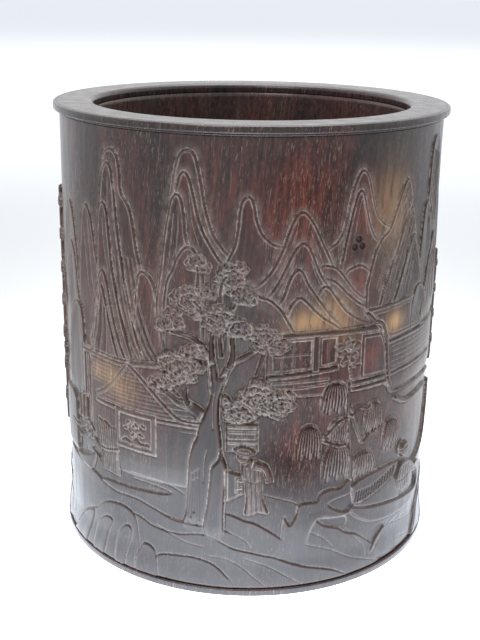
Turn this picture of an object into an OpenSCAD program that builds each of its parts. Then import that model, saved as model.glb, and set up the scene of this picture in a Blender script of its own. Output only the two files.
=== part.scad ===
// Carved hardwood brush pot: a thick hollow log section with a landscape in
// low relief, a turned rim ring, a turned foot ring, and a floor board with a
// round plug in its middle. Hidden dowels hold the rim, and pegs hold the foot.
// The origin is at the centre of the foot's underside, with +Z up.
// Relief places are given as [degrees round the pot, percent up the carved
// panel]. Zero degrees faces -Y, and the angle grows towards +X.

/* [Pot] */
// Outside diameter of the rim ring and the foot ring
rim_d = 160; // [156:2:190]
// Height of the whole pot
pot_h = 182; // [160:2:220]
// Diameter of the mouth and of the bore
bore_d = 128; // [110:2:128]
// How far the rings stand out past the plain wall
ring_overhang = 2.4; // [2.2:0.1:3]

/* [Rings] */
// Height of the rim ring
rim_h = 4; // [4:0.5:6]
// Thickness of the lip on the rim ring
lip_h = 3; // [2.6:0.2:3.4]
// Height of the foot ring
foot_h = 3; // [2.6:0.2:4]
// How far the foot ring reaches in past the bore, to carry the floor
foot_lip = 2; // [1:0.5:4]

/* [Floor] */
// Thickness of the floor board
board_h = 8; // [6:0.5:12]
// Depth of the rebate that holds the board's edge
rebate = 4; // [3:0.5:5]
// Diameter of the plug in the middle of the floor
plug_d = 26; // [20:1:40]

/* [Dowels and pegs] */
// Number of hidden dowels under the rim ring
dowel_n = 6; // [4:1:8]
// Number of pegs through the foot ring
peg_n = 8; // [6:1:10]
// Diameter of the dowels and the pegs
peg_d = 4; // [3:0.5:4.5]

/* [Relief] */
// Height of the lowest layer of the relief above the plain wall
relief = 0.5; // [0.3:0.1:0.6]
// Number of hills in the range round the back
back_hills = 9; // [6:1:9]

/* [Hidden] */
$fn = 96;

rim_r = rim_d / 2;
bore_r = bore_d / 2;
wall_r = rim_r - ring_overhang;
wall_top = pot_h - rim_h;
lip_z = pot_h - lip_h;
mouth_r = 2;               // rounding of the mouth's edge
lip_r = 0.9;               // rounding of the lip's two outer edges
foot_r = 0.6;              // rounding of the foot ring's two outer edges
bead_r = 0.4;              // small bead under the lip
quirk_r = 0.25;            // fine groove round the top face
quirk_in = 1.4;            // distance from the outer edge to the quirk
peg_gap = 0.05;            // clearance round a dowel or a peg
peg_ring_r = (wall_r + bore_r + rebate) / 2;
dowel_ring_r = (wall_r + bore_r) / 2;
dowel_bite = 2.4;          // dowel length inside the rim ring
dowel_drop = 9;            // dowel length inside the wall
peg_drop = 12;             // peg length inside the wall
peg_sink = 0.3;            // peg end above the foot's face
plug_step_h = 3;           // height of the plug's wider head
plug_step_w = 2;           // how much wider the head's radius is
bite = 1;                  // how deep a relief layer is rooted in the wall
layer = 0.2;               // height between one relief layer and the next

// Height of a place on the carved panel, from its percentage.
function up(pc) = foot_h + pc / 100 * (wall_top - foot_h);
// Distance across a plate, from degrees to either side of its middle.
function across(deg) = wall_r * sin(deg);
function places(points) = [for (p = points) [across(p[0]), up(p[1])]];
// Bell-shaped outline of a hill about x = 0: top and foot heights, half width.
function hill(top, foot, half) =
    [for (t = [-1:0.125:1]) [half * t, foot + (top - foot) * (1 + cos(180 * t)) / 2]];

// One raised layer of the relief. The flat outline in children() is carried
// outward along the radius at the angle at, and trimmed to an even height over
// the round wall. Layers that overlap have different numbers.
module carved(at, n) {
    intersection() {
        rotate([0, 0, at]) translate([0, -0.6 * wall_r, 0]) rotate([90, 0, 0])
            linear_extrude(height = 0.6 * wall_r) children();
        difference() {
            cylinder(h = pot_h, r = wall_r + relief + n * layer);
            translate([0, 0, -1]) cylinder(h = pot_h + 2, r = wall_r - bite);
        }
    }
}

module outline(points) polygon(places(points));
// A filled disc on a plate: place in [degrees, percent], radius in mm.
module disc(at, r) translate([across(at[0]), up(at[1])]) circle(r = r, $fn = 48);
// A rectangle on a plate, from two angles and two heights.
module slab(a0, a1, p0, p1)
    outline([[a0, p0], [a1, p0], [a1, p1], [a0, p1]]);

// Hills: [middle, top, foot, half width, layer].
hills = [[-40, 96, 51, 15, 0], [-17, 98, 65, 11, 1], [-1, 90, 75, 7, 0], [14, 86, 62, 14, 2],
         [32, 94, 73, 10, 0], [49, 91, 64, 10, 1], [67, 98, 67, 7, 2], [-62, 83, 55, 9, 1],
         [-82, 92, 57, 12, 0]];

module front_hills() {
    for (h = hills) carved(h[0], h[4]) outline(hill(h[1], h[2], h[3]));
}

// The range of hills goes on round the back, with uneven heights.
module rear_hills() {
    step = 180 / back_hills;
    for (i = [0:back_hills - 1])
        carved(87 + step * (i + 0.5), i % 2)
            outline(hill(88 + 8 * sin(125 * i), 57 + i % 2, 0.6 * step));
}

// Gabled house with a framed panel: wall, roof and panel on three layers.
module house(at, floor_pc) {
    carved(at, 1) slab(-16, 17, floor_pc, floor_pc + 14.3);
    carved(at, 3) outline([[-18, floor_pc + 13], [21, floor_pc + 13.7], [3, floor_pc + 24],
                           [-17, floor_pc + 23]]);
    carved(at, 2) slab(-5, 7, floor_pc + 3, floor_pc + 11);
}

// Waterside hall: a long beam and a rail on posts, with a roof beside them.
module hall(at) {
    carved(at, 3) {
        slab(-13, 20, 59.2, 61.4);
        slab(-12, 7, 50.1, 51.9);
        for (k = [0:2]) slab(-10 + 8 * k, -8.4 + 8 * k, 50.6, 60.3);
    }
    carved(at + 31, 2) outline([[-14, 62], [6, 63.5], [14, 54.7], [-7, 53.8]]);
    carved(at + 37, 4) outline([[-11, 51.6], [12, 50.4], [11, 43.5], [-5, 43.2]]);
}

// Pine: a forked trunk with round clumps of needles at the branch ends.
module pine(at) {
    carved(at, 6) outline([[-8, 15.5], [-7.5, 38], [-4, 52], [-5.2, 60], [-2.3, 60.4], [0, 48],
                           [5, 60.2], [7, 59.1], [3, 45], [2, 36], [5, 28], [4, 15.2]]);
    carved(at, 5) {
        disc([-7, 70], 7);
        disc([4, 73], 7);
        disc([-12, 62], 6);
        disc([9, 65], 5);
        disc([13, 57], 7);
        disc([-13, 51], 10);
        disc([12, 46], 10);
    }
}

// Willow: a leaning trunk on a bank, with drooping fronds.
module willow(at) {
    carved(at, 5) outline([[-14, 9.3], [-6, 9.8], [-4, 19], [10, 19.6], [10, 22.7],
                           [0, 24], [9, 42], [7, 42.4], [-4, 24.5], [-12, 20]]);
    carved(at, 4) for (c = [[0, 41, 9], [12, 35, 9], [-9, 31, 8]]) {
        disc([c[0], c[1]], 4.6);
        slab(c[0] - 2.6, c[0] + 2.6, c[1] - c[2], c[1]);
    }
}

// Flat-bottomed boat with two seated figures.
module boat(at) {
    carved(at, 7) outline([[-12, 18.2], [14, 18.7], [22, 24], [10, 21.6], [-14, 21]]);
    carved(at + 10, 3) for (k = [-1, 1]) {
        disc([3 * k, 31 - 1.5 * k], 3.2);
        outline([[3 * k - 3.7, 20], [3 * k + 3.1, 20], [3 * k + 1.2, 29], [3 * k - 1.3, 29]]);
    }
}

// Standing figure in a long robe.
module walker(at) {
    carved(at, 7) {
        outline([[-3, 18.6], [3, 18.9], [3.8, 27], [1.5, 32], [-1.5, 32.2], [-3.7, 27]]);
        disc([0, 33.4], 2.6);
    }
}

// Rounded rocks along the foot: [middle, top, half width, layer].
rocks = [[-40, 18, 14, 4], [-63, 13, 9, 2], [24, 8, 11, 0], [78, 12, 12, 1], [104, 19, 12, 3],
         [152, 11, 13, 1], [181, 17, 12, 4], [218, 9, 13, 0], [262, 14, 12, 2]];

module landscape() {
    front_hills();
    rear_hills();
    house(-34, 26);
    house(160, 28);
    hall(19);
    hall(211);
    pine(-9);
    pine(124);
    pine(262);
    willow(33);
    willow(190);
    boat(59);
    boat(229);
    walker(3.5);
    for (r = rocks) carved(r[0], r[3]) outline(hill(r[1], 1, r[2]));
}

// A ring of round pins or holes: count, radius of the ring, pin radius, z span.
module pin_ring(n, ring_r, r, z0, z1) {
    for (i = [0:n - 1])
        rotate([0, 0, 360 / n * (i + 0.5)]) translate([ring_r, 0, z0])
            cylinder(h = z1 - z0, r = r, $fn = 32);
}

module pot_wall() {
    color([0.20, 0.13, 0.11])
    difference() {
        union() {
            translate([0, 0, foot_h]) cylinder(h = wall_top - foot_h, r = wall_r);
            landscape();
        }
        cylinder(h = pot_h, r = bore_r);
        translate([0, 0, -1]) cylinder(h = foot_h + 1, r = rim_r + 1);
        translate([0, 0, foot_h]) cylinder(h = board_h, r = bore_r + rebate);
        translate([0, 0, wall_top]) cylinder(h = rim_h + 1, r = rim_r + 1);
        pin_ring(dowel_n, dowel_ring_r, peg_d / 2 + peg_gap, wall_top - dowel_drop, wall_top + 1);
        pin_ring(peg_n, peg_ring_r, peg_d / 2 + peg_gap, foot_h - 1, foot_h + peg_drop);
    }
}

// A ring's section from r0 to r1 and z0 to z1, with its two outer edges rounded.
module band(r0, r1, z0, z1, r) {
    translate([r0, z0]) square([r1 - r - r0, z1 - z0]);
    translate([r0, z0 + r]) square([r1 - r0, z1 - z0 - 2 * r]);
    for (z = [z0 + r, z1 - r]) translate([r1 - r, z]) circle(r = r, $fn = 48);
}

// Section of the rim ring: a lip, a bead below it, a quirk on top, an eased mouth.
module rim_section() {
    difference() {
        union() {
            band(bore_r + mouth_r, rim_r, lip_z, pot_h, lip_r);
            translate([bore_r, wall_top]) square([wall_r - bore_r, lip_z - wall_top]);
            translate([bore_r, lip_z - 0.5]) square([mouth_r + 1, pot_h - mouth_r - lip_z + 0.5]);
            translate([bore_r + mouth_r, pot_h - mouth_r]) circle(r = mouth_r);
            translate([wall_r, lip_z - bead_r]) circle(r = bead_r, $fn = 32);
        }
        translate([rim_r - quirk_in, pot_h]) circle(r = quirk_r, $fn = 32);
    }
}

module rim_ring() {
    color([0.24, 0.16, 0.14])
    difference() {
        rotate_extrude() rim_section();
        pin_ring(dowel_n, dowel_ring_r, peg_d / 2 + peg_gap, wall_top - 1, wall_top + dowel_bite);
    }
}

module foot_ring() {
    color([0.22, 0.15, 0.13])
    difference() {
        rotate_extrude() band(bore_r - foot_lip, rim_r, 0, foot_h, foot_r);
        pin_ring(peg_n, peg_ring_r, peg_d / 2 + peg_gap, -1, foot_h + 1);
    }
}

module base_board() {
    color([0.28, 0.18, 0.14])
    difference() {
        translate([0, 0, foot_h]) cylinder(h = board_h, r = bore_r + rebate);
        cylinder(h = pot_h, r = plug_d / 2);
        translate([0, 0, foot_h + board_h - plug_step_h])
            cylinder(h = plug_step_h + 1, r = plug_d / 2 + plug_step_w);
    }
}

module base_plug() {
    color([0.34, 0.22, 0.16])
    union() {
        translate([0, 0, foot_h]) cylinder(h = board_h, r = plug_d / 2);
        translate([0, 0, foot_h + board_h - plug_step_h])
            cylinder(h = plug_step_h, r = plug_d / 2 + plug_step_w);
    }
}

module rim_dowels() {
    color([0.72, 0.58, 0.38])
    pin_ring(dowel_n, dowel_ring_r, peg_d / 2, wall_top - dowel_drop, wall_top + dowel_bite);
}

module foot_pegs() {
    color([0.72, 0.58, 0.38])
    pin_ring(peg_n, peg_ring_r, peg_d / 2, peg_sink, foot_h + peg_drop);
}

pot_wall();
rim_ring();
foot_ring();
base_board();
base_plug();
rim_dowels();
foot_pegs();
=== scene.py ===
"""Looks of a carved hardwood brush pot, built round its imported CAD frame.

The wall's landscape is a height field that small motif functions draw on. Its lengths
are millimetres: s runs round the pot, 0 facing -Y and growing towards +X, and z runs up
from the table. Everything that Blender holds is in metres.
"""
import math

import bpy
import numpy as np
from mathutils import Matrix, Vector


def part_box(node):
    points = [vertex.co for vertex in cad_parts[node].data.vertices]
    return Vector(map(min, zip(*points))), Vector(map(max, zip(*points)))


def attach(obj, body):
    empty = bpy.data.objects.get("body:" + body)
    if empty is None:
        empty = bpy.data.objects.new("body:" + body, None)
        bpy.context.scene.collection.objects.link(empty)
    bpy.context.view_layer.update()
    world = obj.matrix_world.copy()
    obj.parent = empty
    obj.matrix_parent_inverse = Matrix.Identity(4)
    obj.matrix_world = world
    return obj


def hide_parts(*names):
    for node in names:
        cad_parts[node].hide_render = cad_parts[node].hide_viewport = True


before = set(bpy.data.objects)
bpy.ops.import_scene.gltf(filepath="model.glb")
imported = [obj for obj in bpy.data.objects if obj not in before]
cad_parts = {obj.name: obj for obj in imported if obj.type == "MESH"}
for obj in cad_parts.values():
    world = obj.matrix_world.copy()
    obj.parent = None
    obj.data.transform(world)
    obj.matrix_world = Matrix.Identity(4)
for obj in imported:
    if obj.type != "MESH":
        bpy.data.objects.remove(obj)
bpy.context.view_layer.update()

MM = 0.001

# ---------------------------------------------------------------- sizes from the frame
RING_OVERHANG = 2.4      # how far the rim and foot rings stand out past the plain wall
REBATE = 4.0             # how far the floor board is let into the wall
RIM_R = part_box("rim_ring")[1].x / MM
WALL_R = RIM_R - RING_OVERHANG
WALL_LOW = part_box("pot_wall")[0].z / MM
WALL_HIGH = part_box("pot_wall")[1].z / MM
BOARD_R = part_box("base_board")[1].x / MM
FLOOR_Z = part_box("base_board")[1].z / MM
BORE_R = BOARD_R - REBATE
DRAWN_R = WALL_R + 1.0   # the radius at which s is measured

# ---------------------------------------------------------------- the height field
SECTORS = 8
COLUMNS = 1440
ROWS = 500
STEP_S = 2 * math.pi * DRAWN_R / COLUMNS
STEP_Z = (WALL_HIGH - WALL_LOW) / ROWS
height = np.zeros((ROWS + 1, COLUMNS))
GROUND_FILM = 0.04       # pale wax left on the open ground
# Wax and dust marks on the wall; below zero, painted shade in cuts, and some raised forms painted
# darker
dust_and_shade = np.full((ROWS + 1, COLUMNS), GROUND_FILM)

FOOT_SWELL = 1.1         # how far the ground swells out towards the foot ring
REACH = 6.0              # how far from an outline its distance is worked out
MOAT = 0.16              # depth of the gutter that is cut round a raised form
GROOVE_AT = 1.15         # distance from a form's edge to the line cut inside it
HALO = 3.4               # width of the scraped ground beside a hill
EDGE_WAX = 0.85          # wax left along the outside of a form's edge
GROOVE_WAX = 0.6         # wax left in the line cut inside it
CORD_SHADE = 0.5           # how dark the cord between the two is painted, as shade
HOLLOW_DEPTH = 0.22      # how far below its surroundings a cell counts as a full hollow, fully in painted shade
RIDGE_HEIGHT = 0.16       # how far above them it counts as a full ridge, lightened by wear and a painted highlight


def smooth(t):
    t = np.clip(t, 0, 1)
    return t * t * (3 - 2 * t)


def bump(x, half):
    """A rounded bump, 1 at x = 0 and 0 from half on."""
    return np.clip(1 - (x / half) ** 2, 0, 1) ** 2


def spline(points, closed=False, gap=0.7):
    """Catmull-Rom curve through the points, as points about gap apart."""
    p = np.asarray(points, float)
    if closed:
        padded = np.vstack([p[-1:], p, p[:2]])
    else:
        padded = np.vstack([2 * p[:1] - p[1:2], p, 2 * p[-1:] - p[-2:-1]])
    made = []
    for a, b, c, d in zip(padded[:-3], padded[1:-2], padded[2:-1], padded[3:]):
        count = max(2, int(np.linalg.norm(c - b) / gap) + 1)
        t = np.linspace(0, 1, count, endpoint=False)[:, None]
        made.append(b + 0.5 * t * (c - a + t * (2 * a - 5 * b + 4 * c - d
                                                + t * (3 * b - a - 3 * c + d))))
    if not closed:
        made.append(p[-1:])
    return np.vstack(made)


def window(points, margin):
    """The cells round some points: their index in a field, their s and their z."""
    low = points.min(axis=0) - margin
    high = points.max(axis=0) + margin
    columns = np.arange(int(low[0] // STEP_S), int(high[0] // STEP_S) + 2)
    first = max(0, int((low[1] - WALL_LOW) // STEP_Z))
    last = min(ROWS, int((high[1] - WALL_LOW) // STEP_Z) + 1)
    rows = np.arange(first, max(first, last) + 1)
    return np.ix_(rows, columns % COLUMNS), columns * STEP_S, WALL_LOW + rows * STEP_Z


def distance(path, s, z, reach):
    """Distance from each cell to a line of points, no more than reach."""
    best = np.full((z.size, s.size), reach * reach)
    for a, b in zip(path[:-1], path[1:]):
        i = np.searchsorted(s, (min(a[0], b[0]) - reach, max(a[0], b[0]) + reach))
        k = np.searchsorted(z, (min(a[1], b[1]) - reach, max(a[1], b[1]) + reach))
        if i[0] == i[1] or k[0] == k[1]:
            continue
        along = b - a
        ds = s[None, i[0]:i[1]] - a[0]
        dz = z[k[0]:k[1], None] - a[1]
        t = np.clip((ds * along[0] + dz * along[1]) / max(along @ along, 1e-9), 0, 1)
        near = (ds - t * along[0]) ** 2 + (dz - t * along[1]) ** 2
        part = best[k[0]:k[1], i[0]:i[1]]
        np.minimum(part, near, out=part)
    return np.sqrt(best)


def inside(outline, s, z):
    """True at the cells inside a closed outline, by counting crossings."""
    found = np.zeros((z.size, s.size), bool)
    for a, b in zip(outline, np.roll(outline, -1, axis=0)):
        rows = np.nonzero((a[1] > z) != (b[1] > z))[0]
        if rows.size:
            crossing = a[0] + (z[rows] - a[1]) * (b[0] - a[0]) / (b[1] - a[1])
            found[rows] ^= s[None, :] < crossing[:, None]
    return found


def form(outline, level, bevel=0.8, groove=0.0, sink=0.0, dust_and_shade_amount=1.0, moat=MOAT,
         fade_low=None, fade_ends=None, reach=REACH, halo=0.0, film=0.03):
    """Raises the inside of a closed outline to a level, over whatever lies behind it.

    groove is the depth of the line cut inside its edge, and sink is how far its middle
    lies below its edge. fade_low is a pair of heights between which the form grows out
    of the ground, and fade_ends is the length over which it does so at either end. halo
    is how strongly the ground beside it is scraped, and film is the wax left on the form:
    below zero the form is painted darker. With a groove, the cord inside the edge gets
    painted shade.
    """
    cells, s, z = window(outline, reach)
    away = distance(np.vstack([outline, outline[:1]]), s, z, reach)
    within = inside(outline, s, z)
    rise = np.clip(away / bevel, 0, 1)
    top = level * (1 - (1 - rise) ** 2)
    top = top - sink * smooth((away - bevel) / (reach - bevel))
    line = 0.0
    if groove:
        # Wax in the cut line, and painted shade on the cord between it and the edge.
        line = GROOVE_WAX * bump(away - GROOVE_AT, 0.45) - CORD_SHADE * bump(away - 0.55, 0.4)
        top = top - groove * (bump(away - GROOVE_AT, 0.5) + 0.5 * smooth(away - GROOVE_AT))
    weight = np.ones_like(away)
    if fade_low:
        weight *= smooth((z - fade_low[0]) / (fade_low[1] - fade_low[0]))[:, None]
    if fade_ends:
        left, right = outline[:, 0].min(), outline[:, 0].max()
        weight *= smooth((s - left) / fade_ends) * smooth((right - s) / fade_ends)
    was, was_dust_and_shade = height[cells], dust_and_shade[cells]
    risen = np.maximum(was * (1 - rise), top)
    gutter = bump(away - 0.2, 0.7)
    target = np.where(within, risen, was - moat * gutter)
    scraped = np.maximum(EDGE_WAX * dust_and_shade_amount * bump(away - 0.15, 0.5),
                         halo * (1 - away / HALO).clip(0, 1))
    marks = np.where(within, line + film * rise + was_dust_and_shade * (1 - rise),
                     np.where(scraped > 0.05, np.maximum(was_dust_and_shade, scraped), was_dust_and_shade))
    height[cells] = was + weight * (target - was)
    dust_and_shade[cells] = was_dust_and_shade + weight * (marks - was_dust_and_shade)


def wax(cells, amount):
    """Leaves wax on cells where the amount is above zero, and paints them dark as shade below it.
    """
    was = dust_and_shade[cells]
    waxed = np.where(amount > 0.05, np.maximum(was, amount), was)
    # Below zero: painted shade.
    dust_and_shade[cells] = np.where(amount < -0.05, np.minimum(was, amount), waxed)


def pit(outline, depth, bevel=0.5, dust_and_shade_amount=0.8):
    """Cuts the inside of a closed outline down by a depth, with a flat floor."""
    cells, s, z = window(outline, 2.0)
    away = distance(np.vstack([outline, outline[:1]]), s, z, 2.0)
    within = inside(outline, s, z)
    height[cells] -= depth * within * smooth(away / bevel)
    # A ring of wax just inside the cut; with a negative amount, a ring of painted shade.
    wax(cells, dust_and_shade_amount * within * bump(away - 0.4, 0.5))


def stroke(path, lift, half=0.45, dust_and_shade_amount=0.6):
    """A raised line where lift is positive, or a cut one, half as wide as half says.

    The last argument is how much wax lies beside it, or below zero how dark the line itself is
    painted, as shade in the cut.
    """
    cells, s, z = window(path, half + 0.5)
    away = distance(path, s, z, half + 0.5)
    height[cells] += lift * bump(away, half)
    # Below zero, the line itself is painted dark as shade in the cut.
    if dust_and_shade_amount < 0:
        ring = bump(away, half)
    else:
        ring = bump(away, 0.32) if lift < 0 else bump(away - half, 0.3)
    wax(cells, dust_and_shade_amount * ring)


def ribbon(points, start, end):
    """Outline of a tapered strip along a curve, start and end wide."""
    path = spline(points)
    along = np.gradient(path, axis=0)
    along /= np.linalg.norm(along, axis=1)[:, None]
    side = np.stack([-along[:, 1], along[:, 0]], axis=1)
    half = np.linspace(start, end, len(path))[:, None] / 2
    return np.vstack([path + half * side, (path - half * side)[::-1]])


def oval(centre, across, up=None, turn=0.0):
    """Outline of an ellipse with these half widths, turned by an angle."""
    t = np.linspace(0, 2 * math.pi, 28, endpoint=False)
    u, v = across * np.cos(t), (up or across) * np.sin(t)
    c, n = math.cos(turn), math.sin(turn)
    return np.stack([centre[0] + c * u - n * v, centre[1] + n * u + c * v], axis=1)


def between(first, last, count):
    """Curves spread evenly from one list of points to another of the same length."""
    first, last = np.asarray(first, float), np.asarray(last, float)
    return [spline(first + t * (last - first)) for t in np.linspace(0, 1, count)]


def place(pivot=0.0, to=0.0, flip=False, wide=1.0, tall=1.0, lift=0.0):
    """Returns a function that carries points drawn about a pivot to another place."""
    def put(points):
        p = np.array(points, float).reshape(-1, 2)
        p[:, 0] = to + (-wide if flip else wide) * (p[:, 0] - pivot)
        p[:, 1] = WALL_LOW + tall * (p[:, 1] - WALL_LOW) + lift
        return p
    return put


def skyline(put, level, points, base, groove=0.2, sink=None):
    """A hill below a curve. It grows out of the ground just above its base."""
    path = spline(put(points))
    low = put([(0, base)])[0, 1]
    foot = np.array([[path[-1, 0], low - 2], [path[0, 0], low - 2]])
    form(np.vstack([path, foot]), level, bevel=0.65, groove=groove, halo=0.24,
         sink=0.4 * level if sink is None else sink, fade_low=(low, low + 12))


def shore(put, level, points, ends=9.0):
    """A bank of land below a curve, down to the foot of the wall."""
    path = spline(put(points))
    foot = np.array([[path[-1, 0], WALL_LOW - 9], [path[0, 0], WALL_LOW - 9]])
    form(np.vstack([path, foot]), level, bevel=0.6, sink=0.12, fade_ends=ends, dust_and_shade_amount=0.7,
         moat=0.08)


def cuts(put, curves, depth=0.2, half=0.4, dust_and_shade_amount=0.6):
    for curve in curves:
        stroke(spline(put(curve)), -depth, half, dust_and_shade_amount)


def beads(put, curves, lift=0.25, half=0.5, dust_and_shade_amount=0.6):
    for curve in curves:
        stroke(spline(put(curve)), lift, half, dust_and_shade_amount)


def folds(put, first, last, count, depth=0.22, half=0.5):
    """Fold lines that sweep from one curve to another: each a cut beside a sharp ridge."""
    for path in between(put(first), put(last), count):
        stroke(path, -1.2 * depth, 1.5 * half, 0)
        stroke(path + (1.5 * half, 0), 0.4 * depth, 0.8 * half, 0.5)


# ---------------------------------------------------------------- mountains
def tall_range(put):
    """A cluster of tall, narrow peaks with long folds down their sides."""
    skyline(put, 0.5, [(-98, 118), (-94, 138), (-91, 145), (-88, 146.8), (-85, 144),
                       (-82, 134), (-80, 122)], 104)
    skyline(put, 0.55, [(-80, 112), (-77.5, 132), (-75.5, 144), (-72.5, 148), (-70, 146.5),
                        (-68, 142), (-66, 132), (-64, 124)], 104)
    skyline(put, 0.65, [(-93, 104), (-90.5, 122), (-88, 130), (-86, 131), (-84, 128.5),
                        (-82, 123), (-80, 110), (-78, 100)], 96)
    skyline(put, 0.7, [(-64, 120), (-62, 148), (-60.5, 164), (-58.5, 169.5), (-55, 170.8),
                       (-52, 169), (-50.6, 164), (-50, 156), (-48, 153), (-45.8, 149.5),
                       (-44.3, 143), (-43, 135), (-41.5, 129), (-39.5, 120), (-37, 106)], 92)
    skyline(put, 0.8, [(-46, 100), (-44, 121), (-42.3, 126.8), (-40, 127.5), (-37, 125.5),
                       (-35, 121), (-33.5, 112), (-31.5, 100)], 90)
    skyline(put, 0.85, [(-63, 125), (-62, 150), (-60.5, 161), (-58.5, 165), (-56.5, 165.6),
                        (-54.6, 163), (-53.4, 155), (-52, 142), (-49.5, 126), (-45.5, 108),
                        (-41, 93)], 86)
    skyline(put, 0.95, [(-65, 118), (-64, 138), (-62.6, 148), (-60, 150.8), (-57.8, 148),
                        (-56.6, 139), (-55, 125), (-51, 108), (-46, 93)], 86)
    skyline(put, 1.05, [(-71, 96), (-66.5, 112), (-63.7, 122), (-61, 124.6), (-58.6, 121),
                        (-56, 110), (-53, 100), (-49, 91)], 84)
    skyline(put, 1.15, [(-69, 92), (-65.5, 106), (-63.3, 116), (-61.5, 118.6), (-59.6, 114),
                        (-57, 104), (-53, 92)], 84)
    folds(put, [(-55, 131), (-53, 114), (-48.5, 101), (-43.5, 92)],
          [(-46, 131), (-43, 114), (-38.5, 101), (-34, 93)], 5)
    folds(put, [(-66, 112), (-69, 100), (-73, 91)], [(-60, 110), (-60, 100), (-61, 91)], 4)
    cuts(put, [[(-57, 160), (-57.5, 148), (-55, 133)], [(-54, 158), (-54.5, 146), (-52, 132)],
               [(-60.5, 144), (-60, 134), (-57.5, 124)], [(-74, 140), (-73, 126), (-71, 112)],
               [(-71, 142), (-70, 128), (-68, 114)]], 0.16, 0.4, 0.6)
    skyline(put, 0.95, [(-93, 84), (-90, 98), (-86, 105), (-82.5, 107.6), (-79, 107),
                        (-77, 104), (-76, 98), (-75.4, 85), (-74.8, 74)], 62)


def twin_peaks(put):
    """Two round-headed peaks, each with the next fold inside it."""
    skyline(put, 0.6, [(-31, 130), (-30, 147), (-28.6, 159), (-27.3, 166.5), (-25.8, 171),
                       (-23.6, 173), (-21, 173), (-19.2, 171), (-18, 167), (-16.8, 161),
                       (-15.6, 154), (-14, 148), (-12.4, 143.5), (-10, 140), (-7, 136.6),
                       (-3, 134.6), (2, 132)], 108)
    skyline(put, 0.72, [(-30, 132), (-28.6, 148), (-26.8, 159), (-25.4, 164), (-23.4, 165.6),
                        (-21.5, 163.6), (-19.8, 158), (-18, 150), (-16, 144.4), (-13, 139),
                        (-10, 134.5), (-6, 130)], 106)
    skyline(put, 0.82, [(-35, 116), (-33, 130), (-31.6, 141), (-30.2, 149), (-28.8, 155),
                        (-26.6, 157.6), (-24.4, 156), (-23.2, 150), (-22.6, 143),
                        (-21, 137), (-18, 130)], 104)
    skyline(put, 0.92, [(-33.5, 104), (-32, 116), (-30.6, 125), (-28.4, 129.6), (-26.4, 134.6),
                        (-24, 138), (-21.5, 139), (-19, 137), (-16, 128)], 98)
    cuts(put, [[(-27.5, 150), (-28.5, 140), (-30, 128)], [(-25.5, 151), (-26, 142), (-27.5, 131)],
               [(-21.5, 158), (-20.5, 148), (-18, 139)]], 0.14, 0.4, 0.5)


def thumb_peak(put):
    skyline(put, 0.6, [(-10, 128), (-7.6, 135), (-5.4, 140), (-4.3, 146), (-3.8, 152),
                       (-2.8, 156), (-0.8, 157.8), (1, 157), (2.1, 154), (2.9, 149.5),
                       (4.6, 145), (7.2, 142), (10, 140.4), (14, 139.6), (17, 138)], 112)


def bell_peaks(put):
    """A bell-shaped peak with three more nested inside it, and folds to one side."""
    skyline(put, 0.68, [(33, 116), (36, 128), (40, 130.7), (44, 130.9), (48, 128), (50, 124),
                        (52, 119), (54.5, 114)], 106)
    skyline(put, 0.8, [(-4, 121), (0, 124.5), (4, 126.6), (8, 131), (11, 137), (13, 142.4),
                       (15, 148), (17, 151.4), (19, 152.2), (21, 151.2), (24, 147), (27, 141),
                       (30, 135), (33, 128), (37, 118)], 104)
    skyline(put, 0.88, [(22, 118), (24, 128), (26.5, 132), (29.5, 132.3), (33, 131), (36, 128),
                        (40, 123), (44, 119.4), (48, 117), (53, 114.5)], 106)
    skyline(put, 0.95, [(22, 114), (24.5, 123), (27.5, 127), (30.5, 127), (34, 125),
                        (38, 121), (43, 117), (50, 113)], 105)
    skyline(put, 0.95, [(4, 117), (7, 121.6), (10, 126), (13, 132), (15.5, 137.4), (18, 140.6),
                        (20, 141), (22, 139.4), (24, 135.4), (26, 130.6), (29, 125.6),
                        (34, 119), (41, 112)], 103)
    skyline(put, 1.02, [(22, 110), (24.4, 119), (27.4, 124.6), (30.6, 123.6), (34, 119),
                        (38, 114.2), (43, 110.8), (49, 108)], 104)
    skyline(put, 1.06, [(8, 112), (10.4, 118), (12.4, 121.6), (14.2, 127), (16, 130.4),
                        (18.3, 131.6), (20.2, 129.8), (22, 126), (24.5, 122.4), (28, 117.6),
                        (32, 112.6), (37, 108)], 103)
    skyline(put, 1.14, [(11.6, 109), (13.5, 114), (15.4, 118.4), (18.3, 121.2), (21.2, 119.8),
                        (25, 115.8), (29, 112.4), (33, 109.8), (37, 107)], 102)
    cuts(put, [[(17, 145), (14.5, 138), (11, 130)], [(22, 145), (25, 138), (28, 131)],
               [(16.6, 135.6), (14.2, 129), (11, 122)], [(22.6, 134), (25, 127.6), (28.6, 121)]],
         0.12, 0.35, 0.5)


def pointed_peaks(put):
    """A sharp peak with a second line inside it, and round pits in threes beside it."""
    skyline(put, 0.6, [(22, 130), (26, 135.6), (29, 138.4), (32, 140.2), (34.4, 143.6),
                       (36, 149), (37.2, 155), (38.8, 161), (40.8, 165), (42.8, 165.7),
                       (44.8, 164), (46.5, 160), (48.2, 154), (50.2, 149), (53, 146),
                       (57, 143.5), (62, 141)], 108)
    skyline(put, 0.72, [(33, 124), (35, 136), (37, 146), (38.9, 154), (40.2, 157.6),
                        (42, 158.6), (43.6, 156.6), (45.2, 151), (47.2, 145), (49.4, 141),
                        (52, 139), (57, 136)], 106)
    cuts(put, [[(39.5, 140), (41, 150), (42.4, 155.4), (43.6, 150), (45.6, 142)]],
         0.14, 0.4, 0.6)
    for s, z in ((41.9, 140.5), (40.1, 137.8), (43.5, 137.9),
                 (53.5, 131), (52, 128.5), (55, 130)):
        pit(oval(put([(s, z)])[0], 1.5), 0.4, 0.4, -1.0)


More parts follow.
